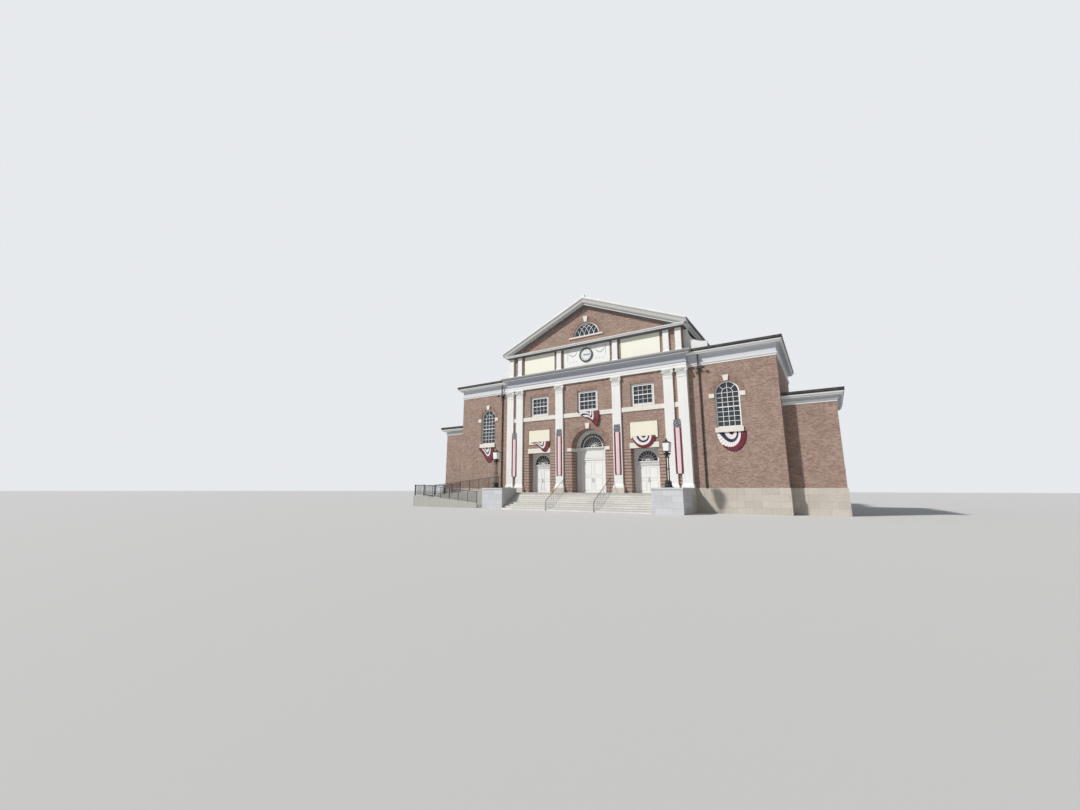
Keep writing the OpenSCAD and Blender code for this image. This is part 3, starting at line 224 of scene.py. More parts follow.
def make_weave():
    """Threads of a cloth over its own UV map, in metres."""
    tree, given, ends = new_group("weave", [("Thread", 0.0012)], [("Height", "Float")])
    cloth = split(tree, cloth_map(tree, "cut"))
    turn = calc(tree, "DIVIDE", math.pi, given["Thread"])
    waves = [calc(tree, "ABSOLUTE", calc(tree, "SINE", calc(tree, "MULTIPLY", cloth[axis], turn)))
             for axis in ("X", "Y")]
    tree.links.new(calc(tree, "MAXIMUM", *waves), ends["Height"])
    return tree


WALL_PLANE, WEATHER, GRAIN, WEAVE = make_wall_plane(), make_weather(), make_grain(), make_weave()


def grouped(tree, group, inputs=None):
    """Outputs of a node group placed in a finish."""
    return put(tree, "Group", inputs, node_tree=group).outputs


# Finishes

def new_finish(name, rough=0.5, **fixed):
    """New material: its tree and its shader, with the values that are the same all over it."""
    finish = bpy.data.materials.new(name)
    finish.use_nodes = True
    shader = finish.node_tree.nodes["Principled BSDF"]
    shader.inputs["Roughness"].default_value = rough
    for label, value in fixed.items():
        shader.inputs[label.replace("_", " ").title()].default_value = value
    return finish, finish.node_tree, shader


def dress(tree, shader, base, height, depth, rough=None):
    """Joins colour, relief and roughness to the shader."""
    tree.links.new(base, shader.inputs["Base Color"])
    if rough is not None:
        tree.links.new(rough, shader.inputs["Roughness"])
    bump = put(tree, "Bump", {"Strength": 0.6, "Distance": depth, "Height": height})
    tree.links.new(bump.outputs[0], shader.inputs["Normal"])


def make_brick(name, channelled=False):
    """Face brick in running courses with a header course every sixth; channelled adds a sunk
    course every fourth, darkened with painted shade."""
    finish, tree, shader = new_finish(name, 0.85)
    plane = grouped(tree, WALL_PLANE)["Plane"]
    courses = coursed(tree, plane, colour(0.22, 0.121, 0.088), colour(0.43, 0.285, 0.222),
                      colour(0.52, 0.48, 0.44), (BRICK_LENGTH, COURSE), 0.005, 0.2, -0.1,
                      offset_frequency=2, squash=0.5, squash_frequency=6)
    weather = grouped(tree, WEATHER)
    skin = noise(tree, plane, 60.0, 3.0)
    tone = stained(tree, courses["Color"], weather["Blotches"], 0, 1, 0.30,
                   colour(0.66, 0.58, 0.53), "MULTIPLY")
    tone = stained(tree, tone, skin, 0.3, 0.7, 0.20, colour(0.28, 0.20, 0.17))
    tone = stained(tree, tone, weather["Streaks"], 0, 1, 0.12, colour(0.55, 0.50, 0.46))
    height = calc(tree, "SUBTRACT", calc(tree, "MULTIPLY", skin, 0.3), courses["Fac"])
    if channelled:
        rows = calc(tree, "DIVIDE", split(tree, plane)["Y"], 4 * COURSE)
        channel = calc(tree, "LESS_THAN", calc(tree, "FRACT", rows), 0.25)
        tone = mixed(tree, 0.25, tone, colour(0.62, 0.44, 0.37))
        # Painted shade: the sunk course is darkened nearly to black, besides being lowered in the
        # relief
        tone = mixed(tree, calc(tree, "MULTIPLY", channel, 0.78), tone, colour(0.06, 0.04, 0.035))
        height = calc(tree, "SUBTRACT", height, calc(tree, "MULTIPLY", channel, 3.0))
    dress(tree, shader, tone, height, 0.004)
    return finish


def make_arch_brick():
    """Rubbed bricks of the arches, each with a tone of its own."""
    finish, tree, shader = new_finish("arch_brick", 0.85)
    own = put(tree, "Attribute", attribute_name="tone").outputs["Fac"]
    skin = noise(tree, coordinates(tree), 55.0, 3.0)
    tone = mixed(tree, own, colour(0.22, 0.125, 0.098), colour(0.40, 0.27, 0.215))
    tone = stained(tree, tone, skin, 0.3, 0.7, 0.3, colour(0.26, 0.17, 0.14))
    dress(tree, shader, tone, skin, 0.003)
    return finish


def make_stone(name, base, dark, size=None, joint=0.004, speck=0.012, rough=0.75, lift=0.0,
               soil=0.22):
    """Cut stone with specks; size gives the length and the rise of its blocks, and lift the
    height by which the courses of steps or low walls are moved."""
    finish, tree, shader = new_finish(name, rough)
    grain = grouped(tree, GRAIN, {"Size": speck})
    weather = grouped(tree, WEATHER)
    tone = stained(tree, dark, grain["Grain"], 0.25, 0.75, 1.0, base)
    tone = stained(tree, tone, weather["Blotches"], 0, 1, 0.25, dark)
    tone = stained(tree, tone, weather["Streaks"], 0, 1, soil, colour(0.34, 0.33, 0.31))
    height = grain["Height"]
    if size:
        if lift:
            at = split(tree, coordinates(tree))
            plane = joined(tree, at["X"], calc(tree, "ADD", at["Z"], lift))
        else:
            plane = grouped(tree, WALL_PLANE)["Plane"]
        blocks = coursed(tree, plane, colour(0.86, 0.855, 0.85), colour(1, 1, 1),
                         colour(0.38, 0.36, 0.34), size, joint, 0.3)
        tone = mixed(tree, 1.0, tone, blocks["Color"], "MULTIPLY")
        height = calc(tree, "SUBTRACT", calc(tree, "MULTIPLY", height, 0.3), blocks["Fac"])
    dress(tree, shader, tone, height, 0.005)
    return finish


def make_paint(name, base, dirt=0.16, rough=0.42, bands=()):
    """Brushed paint with rain streaks. Each band gives weights of |x| and z, the range of
    their sum, and the colour inside it; some bands are painted shade."""
    finish, tree, shader = new_finish(name, rough)
    place = coordinates(tree)
    weather = grouped(tree, WEATHER)
    brush = noise(tree, stretched(tree, place, 40.0, 40.0, 3.0), 1.0, 2.0)
    tone = stained(tree, base, brush, 0.3, 0.7, 0.06, colour(0.45, 0.44, 0.42))
    at = split(tree, place)
    out = calc(tree, "ABSOLUTE", at["X"])
    for (by_x, by_z), low, high, paint in bands:
        level = calc(tree, "ADD", calc(tree, "MULTIPLY", out, by_x),
                     calc(tree, "MULTIPLY", at["Z"], by_z))
        inside = calc(tree, "MULTIPLY", calc(tree, "GREATER_THAN", level, low),
                      calc(tree, "LESS_THAN", level, high))
        tone = mixed(tree, inside, tone, paint)
    tone = stained(tree, tone, weather["Streaks"], 0, 1, dirt, colour(0.36, 0.35, 0.33))
    tone = stained(tree, tone, weather["Blotches"], 0, 1, dirt * 0.5, colour(0.50, 0.48, 0.44))
    dress(tree, shader, tone, brush, 0.0006,
          ramp(tree, weather["Blotches"], 0, 1, rough, rough + 0.15))
    return finish


def make_slates(name, row):
    """Dark slates in courses; row is the rise of one course."""
    finish, tree, shader = new_finish(name, 0.6)
    at, facing = split(tree, coordinates(tree)), split(tree, coordinates(tree, "Normal"))
    sideways = calc(tree, "GREATER_THAN", calc(tree, "ABSOLUTE", facing["X"]),
                    calc(tree, "ABSOLUTE", facing["Y"]))
    plane = joined(tree, picked(tree, sideways, at["X"], at["Y"]), at["Z"])
    rows = coursed(tree, plane, colour(0.045, 0.05, 0.055), colour(0.10, 0.105, 0.11),
                   colour(0.015, 0.015, 0.018), (0.30, row), 0.003, 0.1)
    within = calc(tree, "FRACT", calc(tree, "DIVIDE", at["Z"], row))
    blotches = grouped(tree, WEATHER)["Blotches"]
    tone = stained(tree, rows["Color"], blotches, 0, 1, 0.4, colour(0.13, 0.135, 0.13))
    height = calc(tree, "SUBTRACT", calc(tree, "SUBTRACT", 1.0, within), rows["Fac"])
    dress(tree, shader, tone, height, 0.008, ramp(tree, blotches, 0, 1, 0.55, 0.65))
    return finish


def make_metal_paint(name, base, rough=0.4, metal=0.0):
    """Thick paint on iron, with a little dust and rust at its specks."""
    finish, tree, shader = new_finish(name, rough, metallic=metal)
    place = coordinates(tree)
    specks = noise(tree, place, 45.0, 4.0, 0.65)
    tone = stained(tree, base, specks, 0.62, 0.8, 0.5, colour(0.16, 0.075, 0.04))
    tone = stained(tree, tone, noise(tree, place, 3.0), 0.4, 0.7, 0.12, colour(0.3, 0.29, 0.27))
    dress(tree, shader, tone, specks, 0.0008, ramp(tree, specks, 0.3, 0.7, rough, rough + 0.2))
    return finish


def make_glass(name, dark, pale):
    """Old window glass, a little wavy, with dark rooms behind; the fanlights' darker tint is
    painted shade.
    """
    finish, tree, shader = new_finish(name, 0.03, transmission_weight=0.85)
    shader.inputs["IOR"].default_value = 1.5
    wave = noise(tree, coordinates(tree), 1.6, 1.0)
    dress(tree, shader, mixed(tree, wave, dark, pale), wave, 0.004)
    return finish


def make_lantern_glass():
    """Opal glass of the lanterns."""
    finish, tree, shader = new_finish("lantern_glass", 0.35)
    place = coordinates(tree)
    tone = mixed(tree, noise(tree, place, 7.0), colour(0.85, 0.86, 0.85), colour(0.92, 0.92, 0.91))
    dress(tree, shader, tone, noise(tree, place, 25.0), 0.0005)
    return finish


def make_cloth(name, bands, axis, head=None):
    """Bunting cloth: bands lists where each colour starts along one axis of the UV map, dyed
    stripes and a band of painted shade in a crease; head is the share of its length over which
    the cloth is navy with pale dots."""
    finish, tree, shader = new_finish(name, 0.8, sheen_weight=0.1)
    share = split(tree, cloth_map(tree, "stripes"))
    tone = bands[0][1]
    for start, dye in bands[1:]:
        tone = mixed(tree, calc(tree, "GREATER_THAN", share[axis], start), tone, dye)
    if head:
        dots = put(tree, "TexVoronoi", {"Vector": cloth_map(tree, "cut"), "Scale": 13.0,
                                        "Randomness": 0.25}).outputs["Distance"]
        dotted = mixed(tree, calc(tree, "LESS_THAN", dots, 0.27), NAVY, WHITE_CLOTH)
        tone = mixed(tree, calc(tree, "GREATER_THAN", share["Y"], 1 - head), tone, dotted)
    fade = noise(tree, coordinates(tree), 2.2, 3.0)
    tone = stained(tree, tone, fade, 0.4, 0.7, 0.08, colour(0.50, 0.44, 0.45))
    dress(tree, shader, tone, grouped(tree, WEAVE)["Height"], 0.0004)
    return finish


RED, NAVY = colour(0.14, 0.011, 0.022), colour(0.012, 0.014, 0.05)
WHITE_CLOTH, PINK_CLOTH = colour(0.82, 0.78, 0.79), colour(0.80, 0.64, 0.67)
# Painted shade in the middle crease of the banners
CREASE_PAINTED_SHADE = colour(0.45, 0.26, 0.29)
GRANITE, GRANITE_DARK = colour(0.68, 0.63, 0.56), colour(0.50, 0.455, 0.40)
WHITE = colour(0.82, 0.82, 0.81)
CREAM, PALE_CREAM = colour(0.84, 0.80, 0.65), colour(0.85, 0.84, 0.72)
# Painted shade: the bluish grey of the main frieze stands for its white paint in the cornice's
# shade
GREY_PAINT, FRIEZE_PAINTED_SHADE = colour(0.38, 0.385, 0.40), colour(0.46, 0.48, 0.53)
# Painted shade: the pale grey of the lower friezes stands for white paint in their cornices'
# shade, and the near-black for the deep shade under the pediment's cornices
LOW_FRIEZE_PAINTED_SHADE, DEEP_PAINTED_SHADE = colour(0.60, 0.62, 0.66), colour(0.11, 0.11, 0.115)
OUTWARD, UPWARD, RAKE = (1, 0), (0, 1), (SLOPE, 1)

brick = make_brick("face_brick")
pier_brick = make_brick("channelled_brick", channelled=True)
arch_brick = make_arch_brick()
ashlar = make_stone("granite_ashlar", GRANITE, GRANITE_DARK, (1.15, 0.475))
step_stone = make_stone("granite_steps", colour(0.90, 0.89, 0.86), colour(0.74, 0.73, 0.70),
                        (2.3, STEP_RISE), 0.006, lift=0.003, soil=0.08)
cheek_stone = make_stone("granite_blocks", colour(0.72, 0.735, 0.765), colour(0.54, 0.55, 0.58),
                         (1.3, 0.44))
paving = make_stone("granite_paving", colour(0.70, 0.68, 0.65), colour(0.50, 0.48, 0.46),
                    (1.2, 0.65))
concrete = make_stone("ramp_concrete", colour(0.55, 0.54, 0.51), colour(0.42, 0.41, 0.39),
                      (2.4, 3.0), 0.005, 0.004, 0.85)
plain_granite = make_stone("granite_plinths", GRANITE, GRANITE_DARK)
white_stone = make_stone("white_stone", colour(0.83, 0.80, 0.75), colour(0.72, 0.68, 0.62),
                         speck=0.006)
white_paint = make_paint("white_paint", WHITE)
door_paint = make_paint("door_paint", colour(0.87, 0.88, 0.87), 0.05, 0.3)
# Painted shade: the frieze band is white paint greyed where the cornice shades it; the grey above
# it is the cornice's own paint
entablature_paint_and_shade = make_paint("entablature_paint_and_shade", WHITE, 0.12, 0.5, [
    (UPWARD, 12.02, 12.715, FRIEZE_PAINTED_SHADE), (UPWARD, 12.715, 14, GREY_PAINT)])
# Painted shade: the wings' frieze and the band at 8.2 m are white paint greyed where their
# cornices shade them
low_cornice_paint_and_shade = make_paint("low_cornice_paint_and_shade", WHITE, 0.12, 0.5, [
    (UPWARD, 11.905, 12.595, LOW_FRIEZE_PAINTED_SHADE), (UPWARD, 8.185, 8.385, LOW_FRIEZE_PAINTED_SHADE)])
# Painted shade under the pediment's level cornice
level_cornice_paint_and_shade = make_paint("level_cornice_paint_and_shade", WHITE, 0.2, 0.5, [
    (UPWARD, 14, 15.195, DEEP_PAINTED_SHADE)])
# Painted shade along the raking cornice's bed, under a white crown
raking_paint_and_shade = make_paint("raking_paint_and_shade", colour(0.50, 0.50, 0.49), 0.25, 0.5, [
    (RAKE, 10, RIDGE - 0.745, DEEP_PAINTED_SHADE), (RAKE, RIDGE - 0.10, 21, WHITE)])
panel_paint = make_paint("panel_paint", CREAM, 0.05, bands=[
    (UPWARD, 10, 20, PALE_CREAM), (OUTWARD, -1, 2.6, WHITE)])
relief_paint = make_paint("relief_paint", colour(0.56, 0.60, 0.57), 0.06)
dial_paint = make_paint("dial_paint", colour(0.74, 0.78, 0.79), 0.03, 0.3)
slates = make_slates("roof_slates", 0.079)
low_slates = make_slates("low_roof_slates", 0.034)
gutter_paint = make_metal_paint("gutter_paint", colour(0.02, 0.018, 0.018))
iron_paint = make_metal_paint("iron_paint", colour(0.016, 0.017, 0.019), 0.35)
clock_ring_paint = make_metal_paint("clock_ring_paint", colour(0.010, 0.020, 0.018), 0.3)
hinge_steel = make_metal_paint("hinge_steel", colour(0.5, 0.5, 0.5), 0.35, 1.0)
glass = make_glass("window_glass", colour(0.12, 0.165, 0.22), colour(0.19, 0.25, 0.32))
# Painted shade: the fanlights' glass is darkened nearly to black
painted_shade_glass = make_glass("fanlight_glass", colour(0.012, 0.014, 0.018),
                          colour(0.03, 0.034, 0.04))
lantern_glass = make_lantern_glass()
fan_cloth = make_cloth("fan_cloth", [(0, RED), (0.14, WHITE_CLOTH), (0.36, NAVY),
                                     (0.52, WHITE_CLOTH), (0.74, RED)], "Y")
# Banner stripes, with painted shade in their middle crease
banner_cloth = make_cloth("banner_cloth", [(0, RED), (0.25, PINK_CLOTH), (0.48, CREASE_PAINTED_SHADE),
                                           (0.51, PINK_CLOTH), (0.74, RED)], "X", 0.155)


def coat(finish, *names):
    """Gives CAD nodes their finish."""
    for name in names:
        slots = nodes[name].material_slots
        if not slots:
            nodes[name].data.materials.append(finish)
        for slot in slots:
            slot.material = finish


coat(brick, "doorway_heads", "arch_wall", "upper_front_wall", "attic_wall", "front_gable",
     "hall_side_walls", "hall_rear_wall", "wing_front_walls", "wing_side_walls",
     "wing_rear_walls", "annex_front_walls", "annex_side_walls", "annex_rear_walls")
coat(pier_brick, "front_piers")
coat(ashlar, "stone_base")
coat(paving, "ground_floor", "upper_floor", "landing")
coat(step_stone, "front_steps")
coat(cheek_stone, "cheek_walls")
coat(plain_granite, "pilaster_plinths")
coat(concrete, "ramp")
coat(white_stone, "stone_dressings", "belt_course")
coat(white_paint, "pilasters", "pilaster_capitals", "attic_pilasters", "scroll_parapets",
     "sash_frames", "arched_frames", "main_doorcase", "side_doorcases")
coat(level_cornice_paint_and_shade, "pediment_cornice")
coat(raking_paint_and_shade, "raking_cornice")
coat(entablature_paint_and_shade, "entablature")
coat(low_cornice_paint_and_shade, "low_cornices")
coat(panel_paint, "painted_panels")
coat(dial_paint, "clock_face")
coat(clock_ring_paint, "clock_ring")
coat(slates, "main_roof")
coat(low_slates, "wing_roofs", "annex_roofs")
coat(gutter_paint, "gutters", "downspouts")
coat(glass, "sash_glass", "arched_glass")
coat(painted_shade_glass, "fanlight_glass")
coat(lantern_glass, "lamp_lanterns")
coat(hinge_steel, "door_hinges")
coat(iron_paint, "step_handrails", "ramp_railings", "lamp_standards")
coat(door_paint, "main_door_left", "main_door_right", "left_door_left", "left_door_right",
     "right_door_left", "right_door_right")


# Shapes

def linked(corners, kind):
    """Edges or faces at some corners, each once."""
    return list(dict.fromkeys(part for v in corners for part in getattr(v, "link_" + kind)))


def block(bm, low, high, ease=0.0):
    """Box between two corners, its edges eased by a small bevel."""
    low, high = Vector(low), Vector(high)
    made = bmesh.ops.create_cube(bm, size=1.0, matrix=Matrix.Translation((low + high) / 2)
                                 @ Matrix.Diagonal((*(high - low), 1.0)))["verts"]
    if ease:
        bmesh.ops.bevel(bm, geom=linked(made, "edges"), offset=ease, segments=1, profile=0.5,
                        affect="EDGES", material=-1)


def bar(bm, start, end, width, front, back):
    """Straight bar between two points (x, z) of an upright plane, from one depth to another."""
    (x0, z0), (x1, z1) = start, end
    turn = Matrix.Rotation(-math.atan2(z1 - z0, x1 - x0), 4, "Y")
    place = Matrix.Translation(((x0 + x1) / 2, (front + back) / 2, (z0 + z1) / 2))
    size = Matrix.Diagonal((math.hypot(x1 - x0, z1 - z0), back - front, width, 1))
    bmesh.ops.create_cube(bm, size=1.0, matrix=place @ turn @ size)


def polar(centre, radius, a):
    """Point (x, z) of an upright plane at a radius and an angle from a centre."""
    return centre[0] + radius * math.cos(a), centre[1] + radius * math.sin(a)


def section(bm, centre, a, inner, outer, front, back):
    """Face across a curved bar at an angle from its centre (x, z)."""
    corners = []
    for radius, y in ((inner, front), (outer, front), (outer, back), (inner, back)):
        x, z = polar(centre, radius, a)
        corners.append(bm.verts.new((x, y, z)))
    return bm.faces.new(corners)


def arc(bm, centre, radius, width, front, back, start=0.0, end=180.0, steps=24):
    """Curved bar about a centre (x, z) of an upright plane, between two angles in degrees."""
    face = section(bm, centre, math.radians(start), radius - width / 2, radius + width / 2,
                   front, back)
    bmesh.ops.spin(bm, geom=[face], cent=(centre[0], 0, centre[1]), axis=(0, -1, 0),
                   angle=math.radians(end - start), steps=steps)


def rod(bm, start, end, radius, sides=8, tip=None):
    """Round bar between two points; tip gives the radius at its end."""
    start, end = Vector(start), Vector(end)
    run = end - start
    bmesh.ops.create_cone(bm, cap_ends=True, segments=sides, radius1=radius,
                          radius2=radius if tip is None else tip, depth=run.length,
                          matrix=Matrix.Translation((start + end) / 2)
                          @ run.to_track_quat("Z", "Y").to_matrix().to_4x4())


def scroll(bm, centre, radius, width, front, back, turns, way, steps=36):
    """Scroll that winds inwards about a centre (x, z) from its top, as on a capital."""
    face = section(bm, centre, math.radians(90), radius - width, radius, front, back)
    cent = Vector((centre[0], 0, centre[1]))
    turn = Matrix.Rotation(-way * math.tau * turns / steps, 3, "Y")
    shrink = 0.18 ** (1 / steps)
    for _ in range(steps):
        made = bmesh.ops.extrude_face_region(bm, geom=[face])["geom"]
        verts = [v for v in made if isinstance(v, bmesh.types.BMVert)]
        bmesh.ops.rotate(bm, verts=verts, cent=cent, matrix=turn)
        bmesh.ops.scale(bm, verts=verts, vec=(shrink, 1.0, shrink),
                        space=Matrix.Translation(-cent))
        face = next(f for f in made if isinstance(f, bmesh.types.BMFace))


def frame_ring(bm, x0, x1, z0, z1, width, back, front):
    """Moulded frame round a rectangle of an upright plane, mitred at its corners."""
    outer = bm.faces.new([bm.verts.new((x, back, z))
                          for x, z in ((x0, z0), (x1, z0), (x1, z1), (x0, z1))])
    ring = bmesh.ops.inset_region(bm, faces=[outer], thickness=width,
                                  use_boundary=True)["faces"]
    bmesh.ops.delete(bm, geom=[outer], context="FACES_ONLY")
    made = bmesh.ops.extrude_face_region(bm, geom=ring)["geom"]
    bmesh.ops.translate(bm, verts=[v for v in made if isinstance(v, bmesh.types.BMVert)],
                        vec=(0, (front - back) * 0.6, 0))
    top = [f for f in made if isinstance(f, bmesh.types.BMFace)]
    bmesh.ops.inset_region(bm, faces=top, thickness=width * 0.175, use_boundary=True)
    bmesh.ops.translate(bm, verts=list({v for f in top for v in f.verts}),
                        vec=(0, (front - back) * 0.4, 0))


def placed(pattern, places):
    """Copies of a pattern, one at each place."""
    mesh = bpy.data.meshes.new("pattern")
    pattern.to_mesh(mesh)
    pattern.free()
    bm = bmesh.new()
    for place in places:
        first = len(bm.verts)
        bm.from_mesh(mesh)
        bm.verts.ensure_lookup_table()
        bmesh.ops.transform(bm, matrix=place, verts=bm.verts[first:])
    bpy.data.meshes.remove(mesh)
    return bm


def mirrored(bm):
    """The shape on both sides of the building's middle."""
    bmesh.ops.mirror(bm, geom=bm.verts[:] + bm.edges[:] + bm.faces[:], axis="X",
                     merge_dist=-1.0)
    return bm


def new_piece(name, bm, finish, body="building", stands_for=(), smooth=None):
    """Finished piece on its body; smooth gives the angle under which its edges are smoothed."""
    bmesh.ops.recalc_face_normals(bm, faces=bm.faces)
    mesh = bpy.data.meshes.new(name)
    bm.to_mesh(mesh)
    bm.free()
    piece = bpy.data.objects.new(name, mesh)
    bpy.context.scene.collection.objects.link(piece)
    mesh.materials.append(finish)
    if smooth:
        mesh.shade_smooth()
        mesh.set_sharp_from_angle(angle=math.radians(smooth))
    if stands_for:
        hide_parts(*stands_for)
    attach(piece, body)
    return piece


def turned_place(x, y, z, degrees):
    """Place for a pattern that faces the front, turned about the upright."""
    return Matrix.Translation((x, y, z)) @ Matrix.Rotation(math.radians(degrees), 4, "Z")


# Windows

SIDES = (-1, 1)
HALL_BAYS = [WING_END + (HALL_DEPTH - WING_END) * (i + 0.5) / 3 for i in range(3)]
FRONT_SASHES = [turned_place(x, FRAME_SET, UPPER_SILL, 0) for x in (-SIDE_DOOR, 0, SIDE_DOOR)]
OTHER_SASHES = (
    [turned_place(x, HALL_DEPTH - FRAME_SET, z, 180) for x in (-SIDE_DOOR, 0, SIDE_DOOR)
     for z in (LOWER_SILL, UPPER_SILL)]
    + [turned_place(s * (HALL_HALF - FRAME_SET), y, z, 90 * s) for s in SIDES
       for y in HALL_BAYS for z in (LOWER_SILL, UPPER_SILL)]
    + [turned_place(s * (ANNEX_HALF - FRAME_SET), (ANNEX_SET + ANNEX_END) / 2, LOWER_SILL, 90 * s)
       for s in SIDES])
ALL_SASHES = FRONT_SASHES + OTHER_SASHES
FRONT_ARCHED = [turned_place(s * ARCH_WINDOW, WING_SET + FRAME_SET, 0, 0) for s in SIDES]
OTHER_ARCHED = (
    [turned_place(s * ARCH_WINDOW, WING_END - FRAME_SET, 0, 180) for s in SIDES]
    + [turned_place(s * (WING_HALF - FRAME_SET), (ANNEX_END + WING_END) / 2, 0, 90 * s)
       for s in SIDES])
ALL_ARCHED = FRONT_ARCHED + OTHER_ARCHED


def sash_bars():
    """Glazing bars of an eight over eight window, and the bead round each sash."""
    bm = bmesh.new()
    half, low, high = SASH_HALF - CASING, CASING, SASH_HEIGHT - CASING
    middle = SASH_HEIGHT / 2
    for k in (-1, 0, 1):
        x = k * half / 2
        bar(bm, (x, low), (x, high), THIN_BAR, 0.045, 0.09)
    for z in ((low + middle) / 2, (middle + high) / 2):
        bar(bm, (-half, z), (half, z), THIN_BAR, 0.043, 0.09)
    for z0, z1 in ((low, middle - 0.04), (middle + 0.04, high)):
        frame_ring(bm, -half, half, z0, z1, 0.03, 0.09, 0.04)
    frame_ring(bm, -SASH_HALF, SASH_HALF, 0, SASH_HEIGHT, 0.04, 0.0, -0.02)
    return bm


def arch_bars():
    """Glazing bars of a tall arched window, with a curved bar and spokes in its head."""
    bm = bmesh.new()
    half, low, head = ARCH_HALF - FRAME_WIDTH, ARCH_SILL + FRAME_WIDTH, (0, ARCH_SPRING)
    front, back, rows = 0.02, 0.06, 7
    inner = half / 2
    bar(bm, (0, low), (0, ARCH_SPRING + half), BAR, front, back)
    for s, a in ((-1, math.radians(135)), (1, math.radians(45))):
        bar(bm, (s * inner, low), (s * inner, ARCH_SPRING), BAR, front, back)
        bar(bm, polar(head, inner, a), polar(head, half, a), BAR, front, back)
    arc(bm, head, inner, BAR, front, back, 0, 180, 18)
    for k in range(1, rows + 1):
        z = low + (ARCH_SPRING - low) * k / rows
        bar(bm, (-half, z), (half, z), 0.075 if k == 4 else BAR, front - 0.002, back)
    edge, bead = ARCH_HALF - 0.025, 0.05
    arc(bm, head, edge, bead, -0.035, 0.0, 0, 180, 28)
    for s in SIDES:
        bar(bm, (s * edge, ARCH_SILL), (s * edge, ARCH_SPRING), bead, -0.035, 0.0)
    return bm


def lunette_bars():
    """Crossing curved bars of the lunette: two families of arcs with the arch's own radius."""
    bm = bmesh.new()
    radius = LUNETTE_HALF - FRAME_WIDTH
    foot = math.degrees(math.asin(FRAME_WIDTH / radius))
    front, back = FRAME_SET + 0.02, FRAME_SET + 0.06
    for k in range(1, 5):
        shift = k * radius * 0.4
        meet = math.degrees(math.acos(shift / 2 / radius))
        arc(bm, (shift, LUNETTE_SILL), radius, LUNETTE_BAR, front, back,
            180 - meet, 180 - foot, 12)
        arc(bm, (-shift, LUNETTE_SILL), radius, LUNETTE_BAR, front + 0.002, back,
            foot, meet, 12)
    arc(bm, (0, LUNETTE_SILL), LUNETTE_HALF - 0.02, 0.04, FRAME_SET - 0.03, FRAME_SET, steps=32)
    return bm


def sill(half, z, out, height):
    """Window sill with its top at z."""
    bm = bmesh.new()
    block(bm, (-half, -FRAME_SET - out, z - height), (half, 0.0, z), 0.012)
    return bm


new_piece("sash_bars", placed(sash_bars(), ALL_SASHES), white_paint)
new_piece("arch_window_bars", placed(arch_bars(), ALL_ARCHED), white_paint,
          smooth=30)
new_piece("lunette_bars", lunette_bars(), white_paint, smooth=30)


# Brick arches and sills

def laid_bricks(places):
    """Bricks of an arch at their places, each given a tone of its own."""
    bm = bmesh.new()
    tone = bm.faces.layers.float.new("tone")
    for place in places:
        own = random.random()
        corners = bmesh.ops.create_cube(bm, size=1.0, matrix=place)["verts"]
        for face in linked(corners, "faces"):
            face[tone] = own
    return bm


def ring_bricks(centre, radius, depth):
    """Places of the bricks in a half round arch of two rings."""
    places = []
    for mean in (radius + 0.11, radius + 0.11 + 0.215):
        count = round(math.pi * mean / 0.072)
        for k in range(count):
            a = math.pi * (k + 0.5) / count
            x, z = polar(centre, mean, a)
            places.append(Matrix.Translation((x, depth, z)) @ Matrix.Rotation(-a, 4, "Y")
                          @ Matrix.Diagonal((0.205, 0.024, 0.062, 1)))
    return places


def soldier_bricks(half, z, depth):
    """Places of the upright bricks in a flat arch."""
    count = round(2 * half / 0.0745)
    return [Matrix.Translation((-half + (k + 0.5) * 2 * half / count, depth, z + 0.13))
            @ Matrix.Diagonal((0.062, 0.024, 0.25, 1)) for k in range(count)]


new_piece("main_arch_bricks", laid_bricks(ring_bricks((0, MAIN_SPRING), MAIN_ARCH, RAISED)),
          arch_brick)
new_piece("lunette_bricks", laid_bricks(ring_bricks((0, LUNETTE_SILL), LUNETTE_HALF, RAISED)),
          arch_brick)
window_arch = laid_bricks(ring_bricks((0, ARCH_SPRING), ARCH_HALF, RAISED - FRAME_SET))
new_piece("window_arch_bricks", placed(window_arch, ALL_ARCHED), arch_brick)
flat_arch = laid_bricks(soldier_bricks(SASH_HALF + 0.1, SASH_HEIGHT, RAISED - FRAME_SET))
new_piece("flat_arch_bricks", placed(flat_arch, ALL_SASHES), arch_brick)
new_piece("window_sills", placed(sill(1.15, 0.0, 0.09, 0.15), OTHER_SASHES), white_stone)
new_piece("arched_window_sills", placed(sill(1.02, ARCH_SILL, 0.10, 0.16), OTHER_ARCHED),
          white_stone)


# Doorways

def fan_bars(bm, centre, radius, front, spokes, hub, scallop):
    """Spokes of a fanlight, with a ring of scallops about its hub."""
    back = front + 0.03
    for k in range(1, spokes):
        a = math.pi * k / spokes
        bar(bm, polar(centre, hub, a), polar(centre, radius, a), THIN_BAR, front, back)
    for k in range(spokes):
        a = math.pi * (k + 0.5) / spokes
        turn = math.degrees(a)
        arc(bm, polar(centre, scallop, a), scallop * math.pi / spokes / 2, SPOKE, front, back,
            turn - 90, turn + 90, 8)
    arc(bm, centre, hub, 0.05, front - 0.01, back, 0, 180, 16)


